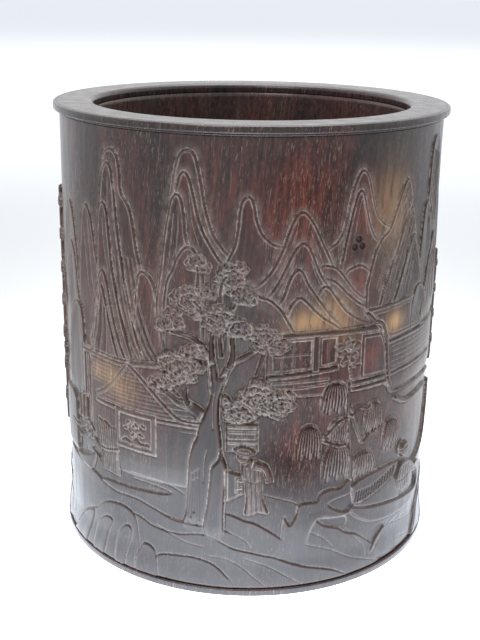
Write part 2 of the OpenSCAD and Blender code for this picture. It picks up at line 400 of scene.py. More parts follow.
def leaning_peaks(put):
    """A slanted peak built of many thin layers that run down to one side."""
    skyline(put, 0.75, [(46, 122), (48.6, 132), (50.4, 136.6), (53, 140), (56.4, 142.6),
                        (59.6, 149), (62.4, 155.4), (64.8, 159.6), (67.2, 160.2),
                        (69, 158), (70.4, 153), (73, 141), (77, 129), (80.5, 118)], 106)
    skyline(put, 0.88, [(53, 114), (58, 127), (62.6, 136.6), (66, 144), (68.6, 148.6),
                        (70.8, 149.4), (72.8, 146), (75.2, 136), (79, 124), (82.5, 114)], 106)
    skyline(put, 1.0, [(60, 112), (64, 121), (68.6, 132.6), (71, 137.6), (73.4, 138.4),
                       (76, 134), (79, 126), (83, 114)], 105)
    folds(put, [(63.5, 154), (59.5, 144), (54.6, 132), (51, 121)],
          [(68.5, 146), (65, 137), (60.6, 126), (57, 115)], 6, 0.24, 0.5)
    folds(put, [(70, 145), (66.6, 134), (62, 122)], [(73.6, 134), (72, 126), (69.4, 117)], 4)
    folds(put, [(66, 156), (63.6, 148), (60, 139)], [(68.6, 154), (67, 147), (64.4, 140)], 2)


def side_peaks(put):
    """A tall, blunt pillar with smaller peaks at its foot."""
    skyline(put, 0.75, [(79, 112), (82, 138), (84, 152), (84.8, 164), (86.8, 171.6),
                        (91, 173.6), (95, 171), (97.4, 161), (100, 142), (104, 122),
                        (108, 108)], 98)
    skyline(put, 0.88, [(77, 112), (79, 134), (80.8, 146), (83.4, 149.6), (86.4, 147.6),
                        (89, 138), (92, 124), (95.6, 108)], 98)
    skyline(put, 1.0, [(83, 106), (86, 120), (90, 131), (94, 135.4), (98, 132), (101.6, 120),
                       (105, 106)], 96)
    folds(put, [(88, 168), (87, 154), (85.4, 140)], [(94, 166), (94.6, 152), (95, 140)], 4)
    folds(put, [(90, 126), (87.6, 116), (86, 106)], [(97, 128), (98, 117), (99.4, 107)], 4)


# ---------------------------------------------------------------- buildings
def plank_lines(put, left, right, low, high, pitch):
    """Level board joints between two slanted sides: left and right are (s, z) pairs."""
    for z in np.arange(low, high, pitch):
        a = np.interp(z, *zip(*sorted((q[1], q[0]) for q in left)))
        b = np.interp(z, *zip(*sorted((q[1], q[0]) for q in right)))
        if b - a > 1.5:
            stroke(put([(a, z), (b, z)]), -0.09, 0.36, 0.45)


def gabled_house(put):
    """A gabled house with a framed panel in its wall, a tied curtain and a porch."""
    form(put([(-77, 90.6), (-48, 91.4), (-33, 93), (-28, 84), (-17, 72), (-17, 44),
              (-77, 44)]), 1.0, fade_low=(40, 52), sink=0.1)
    plank_lines(put, [(-74, 92), (-74, 70)], [(-57, 90), (-57, 78)], 78.5, 89, 1.7)
    plank_lines(put, [(-48, 90), (-56, 80), (-63, 72)], [(-48, 90), (-36, 80), (-26, 71)],
                72.6, 88.4, 1.6)
    plank_lines(put, [(-36, 92), (-36, 80), (-30, 74), (-24, 66)], [(-34, 92), (-18, 72)],
                67, 86, 2.2)
    for k in range(9):
        s = -72.6 + 2 * k
        stroke(put([(s, 80.2 + 1.7 * (k % 3)), (s, 81.9 + 1.7 * (k % 3))]), -0.09, 0.35, 0.45)
    for edge in ([(-77, 89.4), (-62, 89.4), (-50, 89.4), (-46, 90.6), (-33, 92.2)],
                 [(-48, 90), (-52, 85.4), (-56, 80.6), (-61, 76.4), (-67, 73)],
                 [(-48, 90), (-42, 85.6), (-36, 80.4), (-30, 75), (-25, 71.6), (-17, 71)]):
        form(ribbon(put(edge), 1.5, 1.5), 1.2, bevel=0.5, dust_and_shade_amount=0.9)
    form(put([(-67, 71.6), (-18, 70.4), (-18, 69.2), (-67, 70)]), 1.12, bevel=0.4)
    for s in (-75, -71.5):
        form(put([(s - 0.8, 88), (s + 0.8, 88), (s + 0.8, 52), (s - 0.8, 52)]), 1.15,
             bevel=0.5)
    framed_panel(put)
    curtain(put)
    side_walls(put)


def framed_panel(put):
    """A picture panel: a raised frame round a plant beside a rock."""
    outer = put([(-55, 71.4), (-35.4, 71.4), (-35.4, 55), (-55, 55)])
    inner = put([(-53.4, 69.8), (-37, 69.8), (-37, 56.6), (-53.4, 56.6)])
    form(outer, 1.3, bevel=0.4)
    pit(inner, 0.45, 0.4)
    form(spline(put([(-52, 57.4), (-50, 59.4), (-47, 58.6), (-44.6, 60.2), (-42, 58.8),
                     (-39, 59), (-38.4, 57.4), (-45, 57)]), closed=True), 1.2, bevel=0.5)
    stem = [(-46, 59), (-45.4, 62), (-46.4, 65), (-45.6, 68)]
    beads(put, [stem], 0.2, 0.4)
    for k in range(9):
        s, z = -49.6 + 1.05 * k, 63.5 + 2.6 * math.sin(1.7 * k)
        form(oval(put([(s, z)])[0], 1.25, 0.6, 0.9 * math.sin(2.3 * k)), 1.15, bevel=0.3)


def curtain(put):
    """A straight curtain with upright folds, held by a tie half way down."""
    form(put([(-66, 63.4), (-63.4, 62.6), (-61.4, 63), (-58, 61.4), (-54.8, 61.6),
              (-54.4, 41), (-59, 41.4), (-63.6, 41.6), (-64.6, 50)]), 1.3, bevel=0.5)
    folds(put, [(-64.8, 62), (-63.4, 52), (-62.4, 42.4)], [(-55.8, 60.8), (-55.6, 52),
                                                           (-55.4, 41.8)], 7, 0.3, 0.3)
    form(ribbon(put([(-69, 54), (-65.4, 51.4), (-61, 51), (-54, 52.6)]), 0.9, 1.3), 1.5,
         bevel=0.4)


def beam(put, level, points, width):
    form(ribbon(put(points), width, width), level, bevel=0.45, dust_and_shade_amount=0.9, film=-0.65)


def waterside_hall(put):
    """An open hall with latticed windows, and a tilted roof with a terrace beside it."""
    form(put([(7, 107.5), (57, 106.5), (61, 99), (104, 99.5), (104, 76), (64, 76.5),
              (59, 81), (7, 83)]), 0.85, sink=0.1, fade_low=(72, 82))
    for window_box in ([(9, 104.4), (24.4, 104.6), (24.4, 93.2), (9, 92.4)],
                       [(27.8, 104.6), (34.4, 104.6), (34.4, 94.2), (27.8, 93.6)]):
        pit(put(window_box), 0.6, 0.5)
    beads(put, [[(13, 93), (13, 104)], [(17.4, 93), (17.4, 104)], [(9.4, 98.6), (24, 99)],
                [(31, 94), (31, 104)]], 0.25, 0.4, 0.3)
    beam(put, 1.15, [(9, 105.8), (20, 106.6), (36, 106.3), (55, 105.1)], 1.9)
    beam(put, 1.15, [(7, 90.6), (16, 91.2), (26, 92), (35, 92.6)], 1.8)
    beam(put, 1.1, [(25.8, 105.6), (25.8, 92.4)], 1.9)
    beam(put, 1.1, [(3.4, 91), (5, 96), (6.4, 101)], 1.5)
    beads(put, [[(4, 88.2), (18, 88.4), (31, 88.6)], [(4, 85.6), (18, 86), (31, 86.6)]],
          0.22, 0.45)
    form(put([(45.4, 103.6), (55.4, 103), (58, 97), (59.4, 86), (45.4, 86.4)]), 1.0,
         groove=0.12, bevel=0.6)
    for z in (84.8, 82.4):
        beam(put, 1.1, [(39, z), (50, z + 0.2), (60, z)], 1.5)
    form(put([(46.4, 113.2), (75.6, 114.4), (84.8, 99.6), (59, 99)]), 1.25, groove=0.2,
         bevel=0.6)
    cuts(put, [[(51, 110.6), (73.4, 111.6)], [(73.4, 111.6), (80.6, 101.6)],
               [(60, 101.6), (80.6, 101.6)], [(51, 110.6), (60, 101.6)]], 0.16, 0.4, 0.6)
    beam(put, 1.2, [(47, 112), (51, 108.4), (55.4, 106), (58, 99), (60.2, 84)], 1.5)
    for edge in ([(60, 98.2), (74, 98.4), (89, 98)], [(62, 84.8), (80, 85), (100, 84.4)],
                 [(60.2, 84), (62, 80), (64.6, 76.8), (80, 76.2), (101, 75.6)],
                 [(66, 73.6), (72, 70.4), (78, 69.4), (88, 70), (98, 69.4)]):
        beam(put, 1.15, edge, 1.5)
    plank_lines(put, [(62, 98), (62, 86)], [(100, 98), (100, 86)], 87.4, 97.4, 2.1)
    skyline(put, 1.15, [(73, 109), (75.4, 115.4), (78.6, 117.6), (81.6, 117.2), (85.4, 113.8),
                        (88.4, 108.8), (91, 102)], 99)
    potted_flower(put)


def potted_flower(put):
    form(put([(39.6, 92.4), (45.4, 92.4), (44.2, 86.6), (41, 86.6)]), 1.3, bevel=0.5)
    for k in range(11):
        turn = 2.4 * k
        far = 1.15 * math.sqrt(k)
        s, z = 39.4 + 1.2 * far * math.cos(turn), 98.4 + 1.45 * far * math.sin(turn)
        form(oval(put([(s, z)])[0], 1.9, 1.3, turn), 1.25 + 0.02 * k, bevel=0.5)
        stroke(spline(put([(s - 0.8, z - 0.4), (s, z + 0.2), (s + 0.9, z + 0.1)])), -0.16, 0.3)


def pagoda(put, at, low, storeys, step, half):
    """A narrow tower: storeys that grow smaller, each under its own curved eaves."""
    for k in range(storeys):
        z, wide = low + step * k, half * (1 - 0.5 * k / storeys)
        form(put([(at - 0.66 * wide, z + step), (at + 0.66 * wide, z + step),
                  (at + 0.72 * wide, z), (at - 0.72 * wide, z)]), 1.35, bevel=0.5)
        beads(put, [[(at, z + 0.5), (at, z + 0.7 * step)]], 0.25, 0.5)
        form(spline(put([(at - 1.2 * wide, z + 0.7 * step), (at - 0.7 * wide, z + 0.8 * step),
                         (at, z + 1.02 * step), (at + 0.7 * wide, z + 0.8 * step),
                         (at + 1.2 * wide, z + 0.7 * step), (at + 0.6 * wide, z + 0.66 * step),
                         (at - 0.6 * wide, z + 0.66 * step)]), closed=True), 1.8, bevel=0.6)
    top = low + step * storeys
    form(oval(put([(at, top + 1.4)])[0], 0.9, 2.6), 1.5, bevel=0.5)


def side_walls(put):
    """At the left: a wall end and a railing of upright bars beside the village."""
    form(put([(-100, 67), (-90, 67.4), (-85.5, 65), (-84.2, 41.6), (-90, 40.6), (-100, 39)]),
         1.2, bevel=0.7, fade_low=(37, 44))
    form(put([(-81.6, 69.4), (-71.6, 70), (-71.6, 59.4), (-81.6, 57.4)]), 0.9, bevel=0.5)
    for s in (-80.4, -77.4, -74.4):
        form(put([(s - 0.8, 69), (s + 0.8, 69), (s + 0.8, 58.6), (s - 0.8, 58.4)]), 1.4,
             bevel=0.5)
    for edge in ([(-90, 54.4), (-84, 53.4), (-79, 54.4), (-73.3, 59), (-69, 55.6)],
                 [(-84, 50.4), (-78, 50.6), (-72.6, 54.6)]):
        form(ribbon(put(edge), 1.6, 1.6), 1.3, bevel=0.5)
    form(spline(put([(-86.6, 41), (-83, 42), (-79, 42.4), (-72, 45), (-69.4, 47.6),
                     (-70.4, 43), (-72.6, 38), (-73.6, 32), (-72.4, 26), (-75.4, 24.4),
                     (-77, 31), (-79.6, 37), (-83, 38.6)]), closed=True), 1.3, bevel=0.8)
    form(ribbon(put([(-71.4, 48), (-67, 46), (-63.2, 43)]), 1.2, 0.8), 1.3, bevel=0.4)


def slatted_window(put):
    form(put([(-7.4, 72.6), (4.6, 72.6), (4.6, 61), (-7.4, 61)]), 1.0, fade_low=(57, 62))
    for z in (71, 69, 66.8, 64.6):
        beads(put, [[(-6.4, z), (4, z)]], 0.2, 0.4, 0.8)


# ---------------------------------------------------------------- trees
def foliage(put, centre, across, up, level, rng):
    """A clump of leaves: overlapping fans that lean outwards."""
    middle = put([centre])[0]
    size = 3.1
    spread = np.array([max(across - 0.8 * size, 0.4), max(up - 0.6 * size, 0.4)])
    count = max(1, int(1.5 * across * up / size ** 2))
    for k in range(count, -1, -1):
        far = math.sqrt(k / count)
        turn = 1.3 + 2.4 * k + rng.uniform(-0.3, 0.3)
        out = np.array([math.cos(turn), math.sin(turn)])
        leaf_fan(middle + far * spread * out, size * rng.uniform(0.85, 1.15),
                 -0.5 * far * out[0], level, rng)


def leaf_fan(at, size, lean, level, rng):
    """A scalloped dome like an open umbrella, with lines that fan out and curls over it."""
    turned_by = np.array([[math.cos(lean), math.sin(lean)], [-math.sin(lean), math.cos(lean)]])
    t = np.linspace(-0.4, math.pi + 0.4, 48)
    edge = size * (0.92 + 0.2 * np.abs(np.sin(3.6 * t + rng.uniform(0, 3))))
    dome = np.stack([1.1 * edge * np.cos(t), 0.85 * edge * np.sin(t)], axis=1)
    stem = np.array([0, -0.9 * size])
    form(at + np.vstack([dome, stem]) @ turned_by, level, bevel=0.4, dust_and_shade_amount=0.9, moat=0.1,
         reach=1.6, film=-0.3)
    for a in np.linspace(0.0, math.pi, 8):
        tip = size * np.array([0.95 * math.cos(a), 0.7 * math.sin(a)])
        bend = 0.16 * size * rng.uniform(-1, 1) * np.array([-math.sin(a), math.cos(a)])
        line = spline([stem + 0.45 * (tip - stem), stem + 0.75 * (tip - stem) + bend, tip])
        stroke(at + line @ turned_by, -0.3, 0.42, -0.65)
        stroke(at + line @ turned_by + (0.55, 0.1), 0.1, 0.3, 0.35)
    for k in range(int(0.75 * size ** 2)):
        turn, far = rng.uniform(0, 6.28), size * math.sqrt(rng.uniform(0, 0.8))
        curl(at + far * np.array([math.cos(turn), 0.8 * math.sin(turn)]), rng.uniform(0.4, 0.8),
             rng.uniform(0, 6.28), rng.uniform(1.2, 2.0))


def curl(at, radius, turn, half_angle):
    """A short curved cut with a pale ridge outside it."""
    t = np.linspace(turn - half_angle, turn + half_angle, 7)
    around = np.stack([np.cos(t), np.sin(t)], axis=1)
    stroke(at + radius * around, -0.26, 0.38, -0.5)
    stroke(at + (radius + 0.5) * around, 0.1, 0.3, 0.35)


def branch(put, points, start, end, level=1.5):
    form(ribbon(put(points), start, end), level, bevel=0.75, dust_and_shade_amount=1.0, film=-0.72, halo=0.1)


def pine(put, rng):
    """An old forked tree with clumps of leaves at the ends of its branches."""
    back_clumps = (((-21, 118.5), 7.2, 6.8), ((-5.5, 128), 6.4, 6.4), ((-18.3, 133.6), 3.6, 4.8),
                   ((-27.6, 110), 4, 5), ((-12.5, 123.5), 3.6, 3.4), ((-2, 122), 4, 4))
    for at, across, up in back_clumps:
        foliage(put, at, across, up, 1.3, rng)
    branch(put, [(-9.6, 98), (-10.4, 112), (-9.6, 125), (-7.6, 129)], 1.6, 0.9)
    branch(put, [(-13, 108), (-16, 115), (-20, 119)], 1.5, 0.8)
    branch(put, [(-18.4, 124), (-18.2, 129), (-18.4, 132)], 1.2, 0.8)
    branch(put, [(-11.6, 84), (-12.4, 90), (-13.4, 96.4), (-16.2, 101), (-19.4, 104.2),
                 (-23.4, 105.6), (-29, 106.2)], 4.0, 1.2, 1.6)
    branch(put, [(-15.4, 73), (-18, 76), (-21.9, 78.3), (-25.8, 79.2), (-28.4, 80.8),
                 (-31.5, 82.4), (-35.6, 82.2)], 4.6, 1.2, 1.55)
    branch(put, [(-21.6, 78.6), (-23.2, 81.4), (-23, 85)], 1.8, 1.0, 1.55)
    branch(put, [(-9.6, 88), (-7.8, 92.6), (-5.2, 96.4), (-0.6, 98.8), (4.6, 102.2)], 3.4, 1.2)
    branch(put, [(-6.4, 94.4), (-5.2, 99.4), (-5.4, 106), (-4.6, 112)], 2.4, 1.1)
    branch(put, [(-12.6, 94), (-13.2, 104), (-12, 112)], 2.4, 1.1, 1.55)
    form(spline(put([(-23.6, 26.6), (-22.9, 35), (-22.2, 47), (-21.4, 57), (-20, 63),
                     (-18.6, 66), (-17.6, 71), (-15.4, 76.4), (-13.6, 81.6), (-13, 88),
                     (-13.4, 95), (-11.2, 95), (-10.4, 90.4), (-7.6, 91.6), (-8.4, 87),
                     (-9.8, 82), (-10.2, 74.5), (-9.4, 67), (-9, 60), (-9, 40), (-9.4, 26)]),
                closed=True), 1.6, bevel=1.2, sink=0.1, film=-0.5, halo=0.1, fade_low=(25, 33))
    form(spline(put([(-16, 27), (-14.4, 38.6), (-13.4, 48), (-12.8, 54.4), (-10.4, 57.8),
                     (-9.4, 61.6), (-8.2, 58.5), (-7, 54.2), (-7.4, 45.2), (-8, 36.7),
                     (-8.4, 24.4), (-12, 22.8)]), closed=True), 1.8, bevel=1.2, sink=0.15,
         moat=0.3, film=-0.3, fade_low=(22, 30))
    bark = between(put([(-22, 30), (-21.2, 40), (-20, 51)]),
                   put([(-17.4, 29), (-17.4, 38), (-17.6, 53)]), 5)
    for k, curve in enumerate(bark):
        stroke(curve[4 * (k % 3):len(curve) - 5 * (k % 2)], -0.45, 0.5, -0.5)
    cuts(put, [[(-15.8, 48), (-15.6, 56), (-14.6, 61)], [(-12.2, 70), (-12.4, 78), (-11.8, 84)]],
         0.26, 0.45)
    form(oval(put([(-7.4, 80.6)])[0], 2.0, 3.4, 0.3), 1.6, bevel=0.7)
    stroke(oval(put([(-7.4, 80.6)])[0], 1.0, 2.1, 0.3), -0.3, 0.4)
    front_clumps = (((-11.4, 112.4), 6.6, 5.6), ((6.4, 106.4), 5.4, 5.2), ((-2.4, 109.4), 5.6, 4),
                    ((12, 102.6), 3.4, 3.4), ((-25.4, 92.6), 9.2, 7.8), ((-33.6, 86.4), 4.6, 3.8),
                    ((-20.6, 99.6), 4.8, 3.4), ((-3.6, 76), 4.6, 4.8), ((4, 81.4), 8.4, 8.2),
                    ((12.6, 80), 6.4, 6.6), ((-31, 108.6), 3.6, 2.6))
    for at, across, up in front_clumps:
        foliage(put, at, across, up, 1.6, rng)


def willow_clump(put, centre, half, top, low, strands=9):
    """A drooping clump: a domed head from which strands fan out and hang down."""
    path = spline(put([(centre - half, low), (centre - half, low + 0.6 * (top - low)),
                       (centre - 0.62 * half, top - 1.4), (centre, top),
                       (centre + 0.62 * half, top - 1.4),
                       (centre + half, low + 0.6 * (top - low)), (centre + half, low)]))
    foot = put([(0, low), (0, low + 0.55 * (top - low))])[:, 1]
    form(path, 1.25, bevel=0.5, dust_and_shade_amount=0.9, fade_low=tuple(foot), film=0.0)
    for t in np.linspace(-0.92, 0.92, strands):
        tip = low + 0.2 * (top - low) + 1.6 * math.sin(9 * t + centre)
        strand = spline(put([(centre + 0.2 * t * half, top - 0.8),
                             (centre + 0.66 * t * half, top - 0.14 * (top - low)),
                             (centre + 0.95 * t * half, top - 0.45 * (top - low)),
                             (centre + 1.02 * t * half, tip)]))
        stroke(strand, -0.5, 0.42, -0.8)
        stroke(strand + (0.7, 0), 0.12, 0.3, 0.5)


def willow(put):
    """A leaning willow on the bank, with drooping clumps."""
    branch(put, [(41.8, 75), (45.5, 65.3), (48.4, 59.4), (50.4, 61.2), (54.6, 62.6), (60, 64)],
           1.5, 0.9, 1.2)
    for clump in ((34.6, 5.9, 87, 72.4), (24.3, 5.0, 71, 54.6), (53.8, 4.9, 75.6, 60),
                  (64.9, 5.2, 65.6, 50), (36.6, 4.6, 71.8, 59), (36.3, 6.0, 61.2, 44),
                  (49.2, 6.2, 56, 42)):
        willow_clump(put, *clump)
    branch(put, [(40.2, 86), (40.7, 73.2), (41.5, 66.2), (42.3, 59), (42.9, 49.8), (43, 41)],
           1.3, 1.9)
    branch(put, [(42, 71.4), (44.4, 73.6), (46.6, 74.4), (49.2, 73.2), (51.6, 74.6)], 1.5, 1.0)
    branch(put, [(30.4, 63.8), (32.8, 67.2), (36.8, 70.5), (40.5, 71.2)], 1.0, 1.2)
    branch(put, [(30.6, 63.2), (35.8, 60.8), (40.6, 60.2)], 1.2, 1.0)
    root(put)


def root(put):
    """The willow's root, which runs down over the bank, with a hollow beside it."""
    form(spline(put([(13.6, 12), (14.6, 24), (15.6, 33), (17.4, 29.6), (20, 33.6), (21.2, 38),
                     (24.6, 38.4), (28.4, 38.6), (29.8, 41.4), (33.8, 42.8), (38.2, 42.4),
                     (41.4, 45), (43.6, 44), (43.4, 39), (38.4, 38), (33.4, 36.4),
                     (36.6, 33.4), (41.6, 31.6), (44.6, 32.8), (44.8, 30), (38, 29.6),
                     (31, 30.6), (27.6, 29), (25, 22), (24, 12)]), closed=True), 1.0,
         bevel=0.5, sink=0.15, fade_low=(14, 30), film=0.0, moat=0.1)
    pit(spline(put([(28.6, 30.6), (30.8, 28.4), (36.8, 25.2), (42, 24.6), (42.6, 28.8),
                    (36.6, 29.8)]), closed=True), 0.3, 0.9)
    form(spline(put([(54.8, 8.6), (57.2, 13), (61, 16.6), (64.6, 18), (62.2, 14.2),
                     (58.6, 10.8)]), closed=True), 0.8, bevel=0.5, moat=0.08, film=0.0)
    stroke(spline(put([(55.6, 9.6), (59.4, 13.6), (63.6, 17)])), 0.15, 0.35, 0.5)


# ---------------------------------------------------------------- people and boat
def robed_figure(put, s, z, size, level=1.65):
    """A small plain figure in a long robe and a wide hat, with no face."""
    def at(points):
        return put([(s + size * p[0], z + size * p[1]) for p in points])
    form(spline(at([(-3.3, 0), (-3, 6.8), (-3.9, 14.4), (-5, 19.6), (-4.4, 22.8), (0, 23.6),
                    (2.8, 21.4), (3, 14), (3.4, 7), (5.6, 0.8), (1.6, 1.2)]), closed=True),
         level, bevel=0.8)
    folds(at, [(-3.2, 20), (-2.4, 11), (-2.4, 1)], [(1.6, 20), (2.2, 11), (3.2, 2)], 4, 0.2, 0.4)
    form(ribbon(at([(-0.6, 21.6), (3.4, 20.4), (5.4, 16.6), (6, 13.8)]), 3.2 * size, 2.6 * size),
         level + 0.2, bevel=0.6)
    cuts(at, [[(0.4, 20.8), (3.2, 19.4), (4.8, 15.4)], [(-4, 16), (-0.6, 14.4), (2.6, 15)]])
    form(oval(at([(-4.2, 24.6)])[0], 2.5 * size, 2.6 * size), level + 0.1, bevel=0.8)
    form(oval(at([(-3.8, 27)])[0], 4.4 * size, 2.1 * size, -0.15), level + 0.3, bevel=0.6)
    stroke(oval(at([(-3.8, 27.2)])[0], 2.4 * size, 0.9 * size, -0.15), -0.3, 0.4)


def seated_figure(put, s, z, size, level=1.7):
    """A small plain figure that sits in a loose robe and a round hat."""
    def at(points):
        return put([(s + size * p[0], z + size * p[1]) for p in points])
    form(spline(at([(-4.7, 2.9), (-6.5, 7.3), (-4.5, 12.6), (-1.3, 14.3), (4.4, 12.9),
                    (11, 7.8), (11.6, 4.4), (5, 5.4), (3.6, 1.4), (-1, 0.1)]), closed=True),
         level, bevel=0.9)
    folds(at, [(-3.6, 11.6), (-4.4, 7), (-2.6, 2)], [(3.2, 11.6), (2.6, 7), (2.4, 3)], 4, 0.2, 0.4)
    cuts(at, [[(0.6, 11.8), (5.6, 9), (10, 6)], [(-5.6, 6.6), (-1, 6), (4.4, 7)]], 0.26)
    form(oval(at([(-0.6, 19.4)])[0], 3.3 * size, 3.7 * size, -0.3), level + 0.15, bevel=1.0)
    stroke(spline(at([(-3.6, 19.6), (-0.6, 20.6), (2.2, 20.8)])), -0.3, 0.4)


def lantern(put):
    """A four-sided lantern frame with a small pane inside."""
    form(put([(-7.6, 40), (-0.3, 43.8), (-0.3, 51.6), (-7.6, 53.4)]), 1.3, bevel=0.5)
    beads(put, [[(-7, 40.8), (-7, 53)], [(-7.2, 40.6), (-0.4, 44.2)], [(-3.4, 44.8), (-3.2, 50.4)],
                [(-3.4, 49.6), (-0.6, 49.4)], [(-3.4, 46.2), (-0.6, 46.6)]], 0.3, 0.5, 0.9)


def boat(put):
    """A flat boat with a hatched awning, a pole and a seated figure."""
    side = [(45.4, 34), (52, 34.4), (59.4, 36.6), (68, 39.6)]
    form(put([*side, (73, 34), (74, 27), (64.4, 28.6), (52, 30.6), (44.4, 32.6)]), 1.0,
         bevel=0.5)
    form(spline(put([(43.6, 32.8), (52.1, 30.5), (64.4, 28.4), (77.9, 26.2), (89.8, 25),
                     (92.6, 28), (90.6, 33), (87, 36.4), (91.6, 37.4), (96, 34.4), (97.6, 29),
                     (94, 23), (88, 20.6), (78.7, 20), (66.3, 20.8), (54.5, 23), (46, 28)]),
                closed=True), 1.15, bevel=0.55, sink=0.1, moat=0.06, dust_and_shade_amount=0.5)
    form(put([(43.4, 42), (47, 43.8), (51.1, 44.8), (60.6, 45.6), (70.8, 45.2), (70, 41.4),
              (68, 39.4), (59.3, 36.4), (51.8, 34.2), (45.4, 33.6)]), 1.25, bevel=0.45,
         moat=0.06)
    for a, b in zip(side[:-1], side[1:]):
        for t in np.arange(0, 1, 0.2):
            foot = np.add(a, np.subtract(b, a) * t) + (0.2, 0.6)
            stroke(put([foot, foot + (0.7, 4.2)]), -0.6, 0.5, -1.0)
    form(ribbon(put([(82, 37.6), (91, 40), (98, 43.6), (103, 50), (107, 58), (109, 68)]),
                0.9, 1.6), 1.4, bevel=0.5)
    seated_figure(put, 76, 29.2, 1.0)


def water(put, rng):
    """Long curved ripples, cut shallow."""
    cuts(put, [[(73, 15.8), (83, 13.8), (93, 11.4)], [(77, 7.8), (89, 5.4), (97, 5)],
               [(62, 5.2), (72, 3.9), (85, 1.6)]], 0.14, 0.4, 0.5)
    for k in range(6):
        s, z = 56 + 7.4 * k + rng.uniform(-2, 2), 18.5 - 1.5 * k + rng.uniform(-1, 1)
        length = rng.uniform(9, 15)
        cuts(put, [[(s, z), (s + 0.3 * length, z + 1), (s + 0.7 * length, z - 0.2),
                    (s + length, z + 0.9)]], 0.1, 0.4, 0.4)


# ---------------------------------------------------------------- land
def front_banks(put):
    for level, points in (
            (0.6, [(-104, 40), (-84, 38.4), (-70, 37.4), (-63.8, 35.4), (-55.5, 34.1),
                   (-45.5, 34.4), (-36, 32.2), (-28, 29.6), (-16, 28.6), (-6, 27), (4, 22)]),
            (0.5, [(-10, 33), (-7, 34.6), (-4, 34), (0, 32.2), (4, 31), (8, 28.6), (13, 25),
                   (18, 20)]),
            (0.55, [(20, 30), (26, 30), (28, 30.5), (32, 27.2), (38, 25), (42, 22), (48, 19.4),
                    (56, 13), (62, 8)]),
            (0.62, [(-52, 27), (-44, 27.2), (-38, 25), (-32, 24), (-26, 23.8), (-20, 24.9),
                    (-15, 25.2), (-12, 24.2), (-8, 22), (-4, 20), (2, 18.6), (8, 17),
                    (12, 16), (18, 13.2), (24, 11), (30, 9.4), (36, 7.4), (41, 4.8),
                    (46, 2.5)]),
            (0.7, [(-54, 2), (-45, 4), (-41, 8.2), (-37, 10.4), (-35, 12.6), (-30, 14),
                   (-20, 14.6), (-14, 13.5), (-10, 11.4), (-6, 7.5), (-2, 2.6)])):
        shore(put, level, points, ends=6.0)
    cuts(put, [[(-14, 16), (-8, 15.6), (-4, 14), (0, 11.6), (4, 8), (10, 3)],
               [(-6, 27), (-2, 25), (1, 23), (3, 20)], [(-36, 25.6), (-24, 21), (-16, 19.6)],
               [(26.7, 25.1), (31.8, 21.9), (36.4, 17.2)],
               [(24.1, 20.4), (35, 16.1), (44.7, 10.4), (53.9, 6.6), (67.2, 1.4)],
               [(42.4, 23.1), (48.6, 16.7), (52.5, 12.4), (53.3, 8.4)],
               [(-48, 45), (-34, 44.4), (-28, 43), (-24, 41)],
               [(-47, 42.6), (-35, 42), (-29, 40.6)], [(7, 43), (12, 41.5), (18, 39.5), (21, 38)],
               [(0, 16), (10, 12), (18, 7), (24, 3)]], 0.18, 0.45, 0.55)


def rock(put, level, points):
    path = spline(put(points))
    foot = np.array([[path[-1, 0], WALL_LOW - 9], [path[0, 0], WALL_LOW - 9]])
    form(np.vstack([path, foot]), level, bevel=0.8, sink=0.15, dust_and_shade_amount=0.7, moat=0.08)


def rocks(put):
    """Worn rocks along the foot, with long fingers."""
    rock(put, 0.9, [(-92, 2), (-87, 10), (-82, 15), (-75, 19.4), (-70, 21.6), (-63, 27),
                    (-55.6, 29.2), (-49.4, 28.8), (-45.7, 26), (-44.6, 20), (-44, 12), (-45, 2)])
    rock(put, 1.1, [(-92, 2), (-86.6, 8), (-81, 14.6), (-75.4, 18.6), (-71, 19.6), (-73, 13),
                    (-77, 2)])
    rock(put, 1.05, [(-72, 2), (-70, 12), (-67.1, 17.4), (-63, 20.6), (-59.6, 21.2),
                     (-58.2, 19.4), (-61.4, 13.5), (-63.6, 2)])
    rock(put, 1.1, [(-57, 2), (-56, 13.7), (-52.6, 19.6), (-49.4, 21.6), (-47.4, 20),
                    (-47.8, 16.7), (-50.4, 8), (-51, 2)])
    rock(put, 1.0, [(-46, 2), (-45.4, 9), (-43.6, 13), (-41.6, 16), (-38, 15.4), (-36, 12.4),
                    (-34.6, 2)])


def tuft(put, s, z, size, rng):
    """A clump of grass: short blades that spread from one point."""
    for k in range(9):
        lean = -1.0 + 0.25 * k
        length = size * rng.uniform(0.7, 1.0)
        form(ribbon(put([(s, z), (s + 0.3 * lean * length, z + 0.6 * length),
                         (s + 0.75 * lean * length, z + 0.95 * length)]), 1.4, 0.4), 1.2,
             bevel=0.4, dust_and_shade_amount=0.7)


def front(rng):
    """The side that faces -Y: village, old tree, willow, boat and far mountains."""
    here = place()
    side_peaks(here)
    tall_range(here)
    twin_peaks(here)
    thumb_peak(here)
    pointed_peaks(here)
    bell_peaks(here)
    leaning_peaks(here)
    skyline(here, 1.08, [(-8, 112), (-4, 120.6), (-1, 123.4), (2, 123), (5, 121.6), (8, 120.6),
                         (12, 117), (15, 112.2), (19, 105)], 98)
    gabled_house(here)
    waterside_hall(here)
    slatted_window(here)
    front_banks(here)
    willow(here)
    boat(here)
    water(here, rng)
    pine(here, rng)
    lantern(here)
    robed_figure(here, 3.5, 34.5, 1.0)
    rocks(here)
    pagoda(here, -113, 46, 7, 14, 7.5)
    pagoda(here, 113, 76, 4, 11, 6.5)


